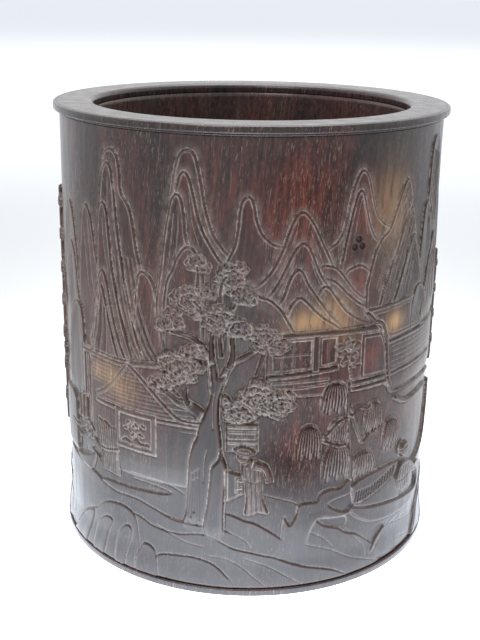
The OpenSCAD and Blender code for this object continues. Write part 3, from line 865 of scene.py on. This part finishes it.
def back(rng):
    """The hidden side carries the same kind of landscape, in another order."""
    tall_range(place(-62, 134, flip=True, tall=0.97))
    bell_peaks(place(18, 186, wide=1.1))
    side_peaks(place(91, 214, tall=0.96))
    twin_peaks(place(-22, 246, flip=True))
    leaning_peaks(place(66, 282, flip=True))
    thumb_peak(place(0, 304, wide=1.2, tall=1.02))
    pointed_peaks(place(42, 330, flip=True, wide=1.1))
    bell_peaks(place(18, 372, flip=True, tall=0.92))
    gabled_house(place(-47, 222, flip=True))
    waterside_hall(place(50, 306, wide=0.94))
    front_banks(place(-20, 170, flip=True))
    front_banks(place(-10, 262))
    front_banks(place(10, 352, flip=True))
    willow(place(40, 262, flip=True))
    boat(place(68, 312))
    water(place(68, 312), rng)
    pine(place(-10, 172, flip=True), rng)
    pine(place(-10, 360, tall=0.96), rng)
    robed_figure(place(), 196, 35, 1.0)
    tuft(place(), 236, 22, 13, rng)
    for at, turned in ((118, False), (206, True), (286, False), (386, True)):
        rocks(place(-60, at, flip=turned, tall=0.9))


# ---------------------------------------------------------------- finishing the field
def blurred(field, radius):
    """Mean over a square: the field goes round in s and stops at its ends in z."""
    padded = np.pad(field, ((radius, radius), (0, 0)), mode="edge")
    rows = sum(padded[k:k + field.shape[0]] for k in range(2 * radius + 1))
    both = sum(np.roll(rows, k, axis=1) for k in range(-radius, radius + 1))
    return both / (2 * radius + 1) ** 2


def rolling(rng, across, up, size):
    """Smooth random waves of about these lengths in mm, that go on round the pot."""
    noise = rng.standard_normal(height.shape)
    fs = np.fft.fftfreq(COLUMNS, STEP_S)[None, :]
    fz = np.fft.fftfreq(ROWS + 1, STEP_Z)[:, None]
    keep = np.exp(-((fs * across) ** 2 + (fz * up) ** 2) * 4)
    field = np.fft.ifft2(np.fft.fft2(noise) * keep).real
    return size * field / field.std()


# Soft spots on the wall, each with its s, z, half width, half height and strength.
# Where the wood is redder
WARM_SPOTS = ((17, 152, 13, 22, 1.0), (45, 124, 9, 7, 1.0), (50, 94, 6, 9, 0.9),
              (52, 150, 12, 12, 0.5), (-10, 158, 12, 14, 0.5), (20, 66, 9, 10, 0.6),
              (-66, 84, 6, 6, 0.7), (43, 150, 5, 12, 0.6), (-2, 130, 4, 8, 0.5),
              (150, 130, 20, 30, 0.8), (230, 150, 16, 20, 0.9), (300, 120, 25, 25, 0.6),
              (372, 150, 14, 24, 0.7))
# Painted highlights: warm lit spots, put into the colour as amber
AMBER_HIGHLIGHT_SPOTS = ((22, 111, 7, 4.5, 0.75), (62, 106, 5.5, 4, 1.0), (58, 150, 9, 15, 0.45),
              (33, 115, 7, 6, 0.5), (37, 107, 6, 4, 0.4), (-52, 80, 8, 6, 0.4),
              (-58, 84, 5, 5, 0.4), (-66, 83, 3, 4, 0.5), (190, 110, 12, 8, 0.7),
              (262, 96, 12, 9, 0.5), (330, 112, 14, 8, 0.6))
# Where the polish is brighter than elsewhere, or duller below zero
SHEEN_SPOTS = ((-38, 48, 22, 16, 0.6), (18, 56, 22, 17, -0.9), (22, 158, 24, 20, -0.7),
               (30, 98, 18, 20, -0.6), (98, 145, 14, 36, -0.5), (90, 76, 16, 14, 1.0),
               (150, 50, 30, 20, 0.4), (250, 60, 30, 20, -0.4))


def painted(spots):
    """A field of soft spots that add up, no more than 1 and no less than -1."""
    field = np.zeros_like(height)
    round_pot = 2 * math.pi * DRAWN_R
    s = STEP_S * np.arange(COLUMNS)[None, :]
    z = WALL_LOW + STEP_Z * np.arange(ROWS + 1)[:, None]
    for at, up, across, tall, strength in spots:
        away = (s - at + round_pot / 2) % round_pot - round_pot / 2
        field += strength * np.exp(-(away / across) ** 2 - ((z - up) / tall) ** 2)
    return np.clip(field, -1, 1)


def carve():
    """Draws the whole landscape, then eases it as a hand-finished surface.

    Returns what the material needs to know at every cell.
    """
    rng = np.random.default_rng(7)
    back(rng)
    front(rng)
    eased = 0.7 * height + 0.3 * blurred(height, 1)
    eased += rolling(rng, 14, 30, 0.05) + rolling(rng, 3, 9, 0.016)
    up = WALL_LOW + STEP_Z * np.arange(ROWS + 1)
    ends = np.minimum(4 * (up - WALL_LOW), WALL_HIGH - up)
    eased += FOOT_SWELL * smooth((15 - up) / 12)[:, None]
    height[:] = np.minimum(eased, RING_OVERHANG - 0.15) * smooth(ends / 1.2)[:, None]
    around = blurred(height, 3)
    # Painted shade: cells below their surroundings, and the darkest painted marks, get a darker
    # colour and duller polish.
    hollow = np.clip((around - height) / HOLLOW_DEPTH - 0.1, 0, 1)
    hollow *= ((0.15 + 0.85 * smooth((up - 46) / 28)) * smooth(ends / 6))[:, None]
    hollow = np.maximum(hollow, np.clip((-0.55 - dust_and_shade) / 0.35, 0, 0.9))
    # Wax and dust above zero, painted shade below it, both fainter towards the bottom.
    faded_dust_and_shade = np.clip(dust_and_shade, -1, 1) * (1 - 0.5 * smooth((60 - up) / 40))[:, None]
    # Ridges above their surroundings get lighter: partly wear, partly a painted highlight.
    return {"dust_and_shade": faded_dust_and_shade, "worn_and_highlit": np.clip((height - around) / RIDGE_HEIGHT, 0, 1), "hollow": hollow,
            "warm": painted(WARM_SPOTS), "gold_highlight": painted(AMBER_HIGHLIGHT_SPOTS),
            "sheen": painted(SHEEN_SPOTS)}


# ---------------------------------------------------------------- meshes
INNER_FILM = 0.08        # wax and dust on the inside of the pot
FOOT_INNER_R = BORE_R - 2.0


def make_mesh(name, points, quads, caps=()):
    """A smooth-shaded mesh from arrays: points in metres, quads, and flat end caps."""
    mesh = bpy.data.meshes.new(name)
    loops = np.concatenate([quads.ravel(), *caps]).astype(np.int32)
    totals = np.array([4] * len(quads) + [len(c) for c in caps], np.int32)
    mesh.vertices.add(len(points))
    mesh.vertices.foreach_set("co", points.astype(np.float32).ravel())
    mesh.loops.add(len(loops))
    mesh.loops.foreach_set("vertex_index", loops)
    mesh.polygons.add(len(totals))
    mesh.polygons.foreach_set("loop_start", np.concatenate([[0], np.cumsum(totals)[:-1]]))
    mesh.polygons.foreach_set("loop_total", totals)
    smooth_faces = np.ones(len(totals), bool)
    smooth_faces[len(quads):] = False
    mesh.polygons.foreach_set("use_smooth", smooth_faces)
    mesh.update(calc_edges=True)
    piece = bpy.data.objects.new(name, mesh)
    bpy.context.scene.collection.objects.link(piece)
    return piece


def ring_quads(rows, columns):
    """Quads of a closed section of `rows` points swept over `columns` steps."""
    row = np.arange(rows)[:, None]
    column = np.arange(columns)[None, :]
    after = (row + 1) % rows
    wide = columns + 1
    quads = np.stack([row * wide + column, after * wide + column,
                      after * wide + column + 1, row * wide + column + 1], axis=-1)
    return quads.reshape(-1, 4)


def inner_section():
    """The wall's inner side from its foot up to its top, as (radius, z) in mm."""
    edge = 0.15
    up = [(BOARD_R + edge, WALL_LOW), (BOARD_R, WALL_LOW + edge), (BOARD_R, FLOOR_Z - edge),
          (BOARD_R - edge, FLOOR_Z), (BORE_R + edge, FLOOR_Z)]
    heights = [FLOOR_Z + edge, *np.linspace(FLOOR_Z + 2, WALL_HIGH - 2, 14), WALL_HIGH - edge]
    return np.array(up + [(BORE_R, z) for z in heights] + [(BORE_R + edge, WALL_HIGH)])


def wall_sector(index, fields):
    """One upright slice of the wall: carved outside, plain bore inside."""
    steps = COLUMNS // SECTORS
    first = index * steps - steps // 2
    columns = np.arange(first, first + steps + 1)
    angle = columns * 2 * math.pi / COLUMNS
    carved = height[::-1, :][:, columns % COLUMNS] + WALL_R
    outer_z = WALL_LOW + STEP_Z * np.arange(ROWS, -1, -1)
    section = inner_section()
    radius = np.vstack([carved, np.repeat(section[:, :1], len(columns), axis=1)])
    z = np.concatenate([outer_z, section[:, 1]])[:, None] + np.zeros(len(columns))
    points = MM * np.stack([radius * np.sin(angle), -radius * np.cos(angle), z], axis=-1)
    rows = len(z)
    wide = len(columns)
    start = np.arange(rows) * wide
    caps = [start[::-1], start + wide - 1]
    piece = make_mesh(f"wall_sector_{index + 1}", points.reshape(-1, 3),
                      ring_quads(rows, steps), caps)
    for name, field in fields.items():
        values = np.zeros((rows, wide), np.float32)
        values[:ROWS + 1] = field[::-1, :][:, columns % COLUMNS]
        if name == "dust_and_shade":
            values[ROWS + 1:] = INNER_FILM
        piece.data.attributes.new(name, "FLOAT", "POINT").data.foreach_set(
            "value", values.ravel())
    sector_uv(piece.data, rows, wide)
    return piece


def sector_uv(mesh, rows, wide):
    """Flat layout of a slice: its carved side on the left, its inner side on the right."""
    loops = np.zeros(len(mesh.loops), np.int32)
    mesh.loops.foreach_get("vertex_index", loops)
    row, column = loops // wide, loops % wide
    share = column / (wide - 1)
    outer = row <= ROWS
    inner_share = (row - ROWS) / (rows - ROWS)
    u = np.where(outer, 0.01 + 0.62 * share, 0.66 + 0.3 * share)
    v = np.where(outer, 0.005 + 0.99 * row / ROWS, 0.005 + 0.99 * inner_share)
    layer = mesh.uv_layers.new(name="OFBake")
    layer.data.foreach_set("uv", np.stack([u, v], axis=1).astype(np.float32).ravel())


def arc(centre, radius, first, last, count=9):
    """Points of a circle's arc, between two angles in degrees."""
    t = np.radians(np.linspace(first, last, count))
    return [(centre[0] + radius * math.cos(a), centre[1] + radius * math.sin(a)) for a in t]


def turned(name, section, wave, rng, columns=480):
    """A turned ring: a closed (radius, z) section swept round, with slight hand waves."""
    section = np.array(section)
    angle = np.arange(columns + 1) * 2 * math.pi / columns
    drift = sum(wave / n * np.cos(n * angle + rng.uniform(0, 6.28)) for n in (3, 5, 8, 13))
    outward = np.clip((section[:, 0] - BORE_R - 2) / 8, 0, 1)
    radius = section[:, :1] - outward[:, None] * np.abs(drift)[None, :]
    z = section[:, 1:] + np.zeros(columns + 1)
    points = MM * np.stack([radius * np.sin(angle), -radius * np.cos(angle), z], axis=-1)
    return make_closed(name, points[:, :-1])


def make_closed(name, points):
    """A ring mesh from points[section, column], closed both ways."""
    rows, columns = points.shape[:2]
    row = np.arange(rows)[:, None]
    column = np.arange(columns)[None, :]
    down = (row + 1) % rows
    on = (column + 1) % columns
    quads = np.stack([row * columns + column, down * columns + column,
                      down * columns + on, row * columns + on], axis=-1).reshape(-1, 4)
    return make_mesh(name, points.reshape(-1, 3), quads)


def rim_section():
    """Flat top with an eased mouth and a fine quirk, a band-like lip, and a bead below."""
    low, high = (v.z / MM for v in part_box("rim_ring"))
    lip = 3.0
    mouth = 2.0
    edge = 0.9
    bead = 0.4
    quirk = RIM_R - 1.4
    flat = [(r, high) for r in np.linspace(BORE_R + mouth, quirk - 0.3, 10)]
    return ([(BORE_R, z) for z in np.linspace(low, high - mouth, 5)]
            + arc((BORE_R + mouth, high - mouth), mouth, 172, 96)
            + flat
            + arc((quirk, high), 0.25, 180, 360, 7)
            + arc((RIM_R - edge, high - edge), edge, 62, 4, 6)
            + arc((RIM_R - edge, high - lip + edge), edge, -4, -86, 7)
            + [(WALL_R + bead, high - lip)]
            + arc((WALL_R, high - lip - bead), bead, 60, -80, 6)
            + [(WALL_R, low + 0.1)]
            + [(r, low) for r in np.linspace(WALL_R - 0.1, BORE_R + 1, 6)])


def foot_section():
    """A plain band with eased outer edges, and a flat face to stand on."""
    low, high = (v.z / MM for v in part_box("foot_ring"))
    inner = FOOT_INNER_R
    edge = 0.6
    nose = RIM_R - edge
    return ([(inner, z) for z in np.linspace(low, high, 3)]
            + [(r, high) for r in np.linspace(inner + 2, nose - 0.3, 8)]
            + arc((nose, high - edge), edge, 86, 4, 6)
            + arc((nose, low + edge), edge, -4, -86, 6)
            + [(r, low) for r in np.linspace(nose - 0.3, inner + 2, 8)])


# ---------------------------------------------------------------- materials
# Colours of the carved wood, of what age has left on it, and of the painted shade and highlight on
# it
VEIN = (0.008, 0.004, 0.004, 1)
PORE_WAX = (0.32, 0.25, 0.20, 1)
AMBER_HIGHLIGHT = (0.52, 0.30, 0.13, 1)
LOW_SHADE = (0.012, 0.010, 0.013, 1)
CUT_SHADE_AND_DARK_WOOD = (0.009, 0.006, 0.007, 1)
WORN_AND_HIGHLIT_WOOD = (0.12, 0.06, 0.045, 1)
HOLLOW_SHADE = (0.004, 0.002, 0.002, 1)
WAX = (0.58, 0.50, 0.44, 1)


class Nodes:
    """Small helper that adds and links shader nodes."""

    def __init__(self, name):
        self.material = bpy.data.materials.new(name)
        self.material.use_nodes = True
        self.tree = self.material.node_tree
        self.shader = self.tree.nodes["Principled BSDF"]

    def add(self, kind, **settings):
        node = self.tree.nodes.new("ShaderNode" + kind)
        for key, value in settings.items():
            setattr(node, key, value)
        return node

    def wire(self, source, target):
        self.tree.links.new(source, target)

    def fibre(self, stretch, tilt=0.1):
        """Object coordinates stretched along the grain, which leans a little as it rises."""
        coordinates = self.add("TexCoord")
        mapping = self.add("Mapping", vector_type="TEXTURE")
        mapping.inputs["Rotation"].default_value = (0.5 * tilt, tilt, 0)
        mapping.inputs["Scale"].default_value = (1, 1, stretch)
        self.wire(coordinates.outputs["Object"], mapping.inputs["Vector"])
        return mapping.outputs["Vector"]

    def noise(self, vector, scale, detail=4.0, roughness=0.6):
        node = self.add("TexNoise")
        node.inputs["Scale"].default_value = scale
        node.inputs["Detail"].default_value = detail
        node.inputs["Roughness"].default_value = roughness
        self.wire(vector, node.inputs["Vector"])
        return node.outputs["Fac"]

    def ramp(self, value, low, high, to_low=0.0, to_high=1.0):
        node = self.add("MapRange", interpolation_type="SMOOTHSTEP")
        node.inputs["From Min"].default_value = low
        node.inputs["From Max"].default_value = high
        node.inputs["To Min"].default_value = to_low
        node.inputs["To Max"].default_value = to_high
        self.wire(value, node.inputs["Value"])
        return node.outputs["Result"]

    def math(self, operation, a, b):
        node = self.add("Math", operation=operation)
        for socket, value in zip(node.inputs, (a, b)):
            if isinstance(value, (int, float)):
                socket.default_value = value
            else:
                self.wire(value, socket)
        return node.outputs["Value"]

    def mix(self, factor, a, b):
        node = self.add("Mix", data_type="RGBA")
        for socket, value in zip((node.inputs[0], node.inputs[6], node.inputs[7]),
                                 (factor, a, b)):
            if isinstance(value, (tuple, float)):
                socket.default_value = value
            else:
                self.wire(value, socket)
        return node.outputs[2]

    def attribute(self, name):
        return self.add("Attribute", attribute_name=name).outputs["Fac"]


def pores(n):
    """Short flecks and long fine lines of open grain, thicker in some patches."""
    flecks = n.ramp(n.noise(n.fibre(6), 2300, 2.0, 0.5), 0.60, 0.67)
    lines = n.ramp(n.noise(n.fibre(26), 2100, 2.0, 0.5), 0.63, 0.70)
    patch = n.ramp(n.noise(n.fibre(3), 48, 3.0), 0.40, 0.62, 0.15, 1.0)
    return n.math("MULTIPLY", n.math("MAXIMUM", flecks, lines), patch)


def upper_share(n):
    """0 low on the pot, where the colour is painted darker and greyer, as shade, and 1 from a
    little further up.
    """
    split = n.add("SeparateXYZ")
    n.wire(n.add("TexCoord").outputs["Object"], split.inputs[0])
    return n.ramp(split.outputs["Z"], 0.02, 0.075)


def handled_and_painted_light(n, colour, rough):
    """Carved wood after years of use: wax in the cuts, wear and a painted highlight on ridges,
    painted shade and duller polish in cuts and hollows.
    """
    grit = n.ramp(n.noise(n.fibre(1.6), 620, 4.0, 0.65), 0.36, 0.62, 0.35, 1.1)
    film = n.math("MULTIPLY", n.math("MAXIMUM", n.attribute("dust_and_shade"), 0.0), grit)
    film = n.math("MINIMUM", film, 1.0)
    cut_shade_and_dark = n.math("MULTIPLY", n.math("MINIMUM", n.attribute("dust_and_shade"), 0.0), -1.0)
    hollow = n.attribute("hollow")
    # Painted shade in cuts from the marks below zero, which also paint some raised forms darker.
    colour = n.mix(cut_shade_and_dark, colour, CUT_SHADE_AND_DARK_WOOD)
    # Ridges lighter: partly wear, partly a painted highlight.
    colour = n.mix(n.math("MULTIPLY", n.attribute("worn_and_highlit"), 0.35), colour, WORN_AND_HIGHLIT_WOOD)
    # Painted shade in the hollows.
    colour = n.mix(n.math("MULTIPLY", hollow, 0.6), colour, HOLLOW_SHADE)
    colour = n.mix(n.math("MULTIPLY", film, 0.75), colour, WAX)
    polish = n.math("ADD", n.attribute("sheen"), 1.0)
    n.wire(n.math("MULTIPLY", n.ramp(hollow, 0, 1, 0.5, 0.15), polish),
           n.shader.inputs["Specular IOR Level"])
    n.wire(n.math("MULTIPLY", n.ramp(hollow, 0, 1, 0.3, 0.0), polish),
           n.shader.inputs["Coat Weight"])
    return colour, n.math("ADD", rough, n.math("MULTIPLY", film, 0.25))


def rosewood(name, dark, mid, red, gloss=0.30, carved=False, bump=0.3):
    """Dark tropical hardwood: streaked grain, fine pores with wax in them, soft polish."""
    n = Nodes(name)
    grain = n.fibre(14)
    streak = n.ramp(n.noise(grain, 620, 5.0, 0.6), 0.40, 0.62)
    cloud = n.ramp(n.noise(n.fibre(2.4), 22, 3.0, 0.55), 0.42, 0.60)
    vein = n.ramp(n.noise(n.fibre(20), 950, 3.0, 0.55), 0.54, 0.66)
    open_grain = pores(n)
    if carved:
        upper = upper_share(n)
        cloud = n.math("MAXIMUM", n.math("MULTIPLY", cloud, 0.4), n.attribute("warm"))
        cloud = n.math("MULTIPLY", cloud, upper)
    warmth = n.math("MULTIPLY", cloud, n.ramp(streak, 0, 1, 0.35, 0.9))
    colour = n.mix(warmth, n.mix(streak, dark, mid), red)
    if carved:
        # Painted highlight: warm lit spots mixed in as amber.
        amber_highlight = n.math("MULTIPLY", n.attribute("gold_highlight"), n.ramp(streak, 0, 1, 0.75, 1.0))
        colour = n.mix(amber_highlight, colour, AMBER_HIGHLIGHT)
    colour = n.mix(n.math("MULTIPLY", vein, 0.6), colour, VEIN)
    if carved:
        # Painted shade: darker and greyer towards the bottom.
        colour = n.mix(n.ramp(upper, 0, 1, 0.6, 0.0), colour, LOW_SHADE)
        open_grain = n.math("MULTIPLY", open_grain, n.ramp(upper, 0, 1, 0.4, 1.0))
    colour = n.mix(n.math("MULTIPLY", open_grain, 0.4), colour, PORE_WAX)
    rough = n.ramp(n.noise(grain, 160, 4.0), 0.3, 0.7, gloss - 0.05, gloss + 0.08)
    if carved:
        colour, rough = handled_and_painted_light(n, colour, rough)
    else:
        n.shader.inputs["Coat Weight"].default_value = 0.3
    n.wire(colour, n.shader.inputs["Base Color"])
    n.wire(rough, n.shader.inputs["Roughness"])
    n.shader.inputs["IOR"].default_value = 1.55
    n.shader.inputs["Coat Roughness"].default_value = 0.16
    bump_node = n.add("Bump")
    bump_node.inputs["Strength"].default_value = bump
    bump_node.inputs["Distance"].default_value = 0.00012
    n.wire(n.math("SUBTRACT", n.math("MULTIPLY", streak, 0.3), open_grain),
           bump_node.inputs["Height"])
    n.wire(bump_node.outputs["Normal"], n.shader.inputs["Normal"])
    return n.material


def bamboo(name):
    """Pale bamboo pins with dark fibre ends."""
    n = Nodes(name)
    flecks = n.ramp(n.noise(n.fibre(6, 0), 1800, 2.0), 0.5, 0.62)
    colour = n.mix(flecks, (0.50, 0.34, 0.16, 1), (0.22, 0.13, 0.06, 1))
    n.wire(colour, n.shader.inputs["Base Color"])
    n.shader.inputs["Roughness"].default_value = 0.55
    return n.material


def dress(node, material):
    """Puts a material on every slot of a CAD node."""
    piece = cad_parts[node]
    piece.data.materials.clear()
    piece.data.materials.append(material)


def stand_in(piece, node, material):
    piece.data.materials.append(material)
    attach(piece, "root")
    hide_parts(node)


# ---------------------------------------------------------------- stage
GLOW = 4.2               # brightness of the table beside the pot
GLOW_RADIUS = 0.15       # how far from its centre it falls to half
GLOW_CENTRE = (0.0, -0.05, 0.0)
OPEN_GLOW = 0.42         # brightness of the table far from the pot
OPEN_CENTRE = (0.0, -0.7, 0.0)


def floor():
    """A plain pale table that glows most strongly round the pot and evenly further out: a painted
    pool of light.
    """
    half = 12
    points = half * np.array([(-1, -1, 0), (1, -1, 0), (1, 1, 0), (-1, 1, 0)])
    plane = make_mesh("table_top", points, np.array([[0, 1, 2, 3]]))
    n = Nodes("glowing_table")
    n.shader.inputs["Base Color"].default_value = (0.55, 0.55, 0.55, 1)
    n.shader.inputs["Roughness"].default_value = 0.9
    place_on_floor = n.add("TexCoord").outputs["Object"]
    narrow = n.add("VectorMath", operation="MULTIPLY")
    n.wire(place_on_floor, narrow.inputs[0])
    narrow.inputs[1].default_value = (1.8, 1, 1)
    near = distance_from(n, narrow.outputs["Vector"], GLOW_CENTRE)
    falling = n.math("POWER", n.math("DIVIDE", near, GLOW_RADIUS), 2.6)
    glow = n.math("DIVIDE", GLOW, n.math("ADD", falling, 1.0))
    open_floor = distance_from(n, place_on_floor, OPEN_CENTRE)
    glow = n.math("ADD", glow, n.ramp(open_floor, 0.9, 1.8, 0, OPEN_GLOW))
    n.shader.inputs["Emission Color"].default_value = (0.82, 0.89, 1.0, 1)
    # Painted pool of light: the table's own glow, strongest round the pot.
    n.wire(glow, n.shader.inputs["Emission Strength"])
    plane.data.materials.append(n.material)


def distance_from(n, vector, centre):
    """How far a vector lies from a fixed point."""
    node = n.add("VectorMath", operation="DISTANCE")
    n.wire(vector, node.inputs[0])
    node.inputs[1].default_value = centre
    return node.outputs["Value"]


def studio_world():
    """Even pale surroundings, dimmer on the side that the pot's front faces."""
    world = bpy.data.worlds.new("studio")
    bpy.context.scene.world = world
    world.use_nodes = True
    tree = world.node_tree
    background = tree.nodes["Background"]
    coordinates = tree.nodes.new("ShaderNodeTexCoord")
    split = tree.nodes.new("ShaderNodeSeparateXYZ")
    fade = tree.nodes.new("ShaderNodeMapRange")
    fade.interpolation_type = "SMOOTHSTEP"
    fade.inputs["From Min"].default_value = -0.75
    fade.inputs["From Max"].default_value = 0.35
    fade.inputs["To Min"].default_value = 0.5
    fade.inputs["To Max"].default_value = 1.0
    background.inputs["Color"].default_value = (0.96, 0.98, 1.0, 1)
    tree.links.new(coordinates.outputs["Generated"], split.inputs["Vector"])
    tree.links.new(split.outputs["Y"], fade.inputs["Value"])
    tree.links.new(fade.outputs["Result"], background.inputs["Strength"])


def softbox(name, location, target, size, power, spread=180):
    light = bpy.data.lights.new(name, "AREA")
    light.spread = math.radians(spread)
    light.shape = "SQUARE"
    light.size = size
    light.energy = power
    lamp = bpy.data.objects.new(name, light)
    bpy.context.scene.collection.objects.link(lamp)
    lamp.location = location
    lamp.rotation_euler = (Vector(target) - Vector(location)).to_track_quat("-Z", "Y").to_euler()


def camera():
    """A hand-held view from the front, a little above the rim."""
    eye = Vector((0.0, -0.4337, 0.2298))
    pitch = 0.3178
    yaw = 0.0078
    roll = 0.0147
    data = bpy.data.cameras.new("view")
    data.sensor_fit = "AUTO"
    data.sensor_width = 36.0
    data.lens = 58.9
    data.clip_start = 0.01
    data.clip_end = 60.0
    view = bpy.data.objects.new("view", data)
    bpy.context.scene.collection.objects.link(view)
    turn = (Matrix.Rotation(yaw, 4, "Z") @ Matrix.Rotation(math.pi / 2 - pitch, 4, "X")
            @ Matrix.Rotation(roll, 4, "Z"))
    view.matrix_world = Matrix.Translation(eye) @ turn
    bpy.context.scene.camera = view


# ---------------------------------------------------------------- build
camera()
wall_fields = carve()
wall_wood = rosewood("carved_rosewood", (0.011, 0.0055, 0.0065, 1), (0.032, 0.014, 0.013, 1),
                     (0.17, 0.036, 0.024, 1), carved=True)
turned_wood = rosewood("turned_rosewood", (0.016, 0.010, 0.011, 1), (0.034, 0.020, 0.020, 1),
                       (0.052, 0.023, 0.020, 1), gloss=0.27, bump=0.08)
floor_wood = rosewood("floor_rosewood", (0.022, 0.013, 0.010, 1), (0.055, 0.030, 0.022, 1),
                      (0.070, 0.030, 0.020, 1), gloss=0.5)
plug_wood = rosewood("plug_rosewood", (0.034, 0.019, 0.013, 1), (0.075, 0.040, 0.027, 1),
                     (0.090, 0.040, 0.026, 1), gloss=0.5)
for sector in range(SECTORS):
    stand_in(wall_sector(sector, wall_fields), "pot_wall", wall_wood)
ring_rng = np.random.default_rng(11)
stand_in(turned("rim_ring_turned", rim_section(), 0.05, ring_rng), "rim_ring",
         turned_wood)
stand_in(turned("foot_ring_turned", foot_section(), 0.05, ring_rng), "foot_ring",
         turned_wood)
dress("base_board", floor_wood)
dress("base_plug", plug_wood)
pin_wood = bamboo("bamboo_pins")
dress("rim_dowels", pin_wood)
dress("foot_pegs", pin_wood)

floor()
studio_world()
softbox("overhead", (0.0, 0.1, 0.9), (0.0, 0.0, 0.0), 0.7, 1.6, 80)
softbox("front_top", (-0.35, -0.85, 0.95), (0.0, 0.0, 0.12), 0.45, 0.3, 50)
softbox("far_floor", (0.0, 2.0, 1.6), (0.0, 2.0, 0.0), 2.4, 14.0, 110)
bpy.context.scene.view_settings.view_transform = "Standard"
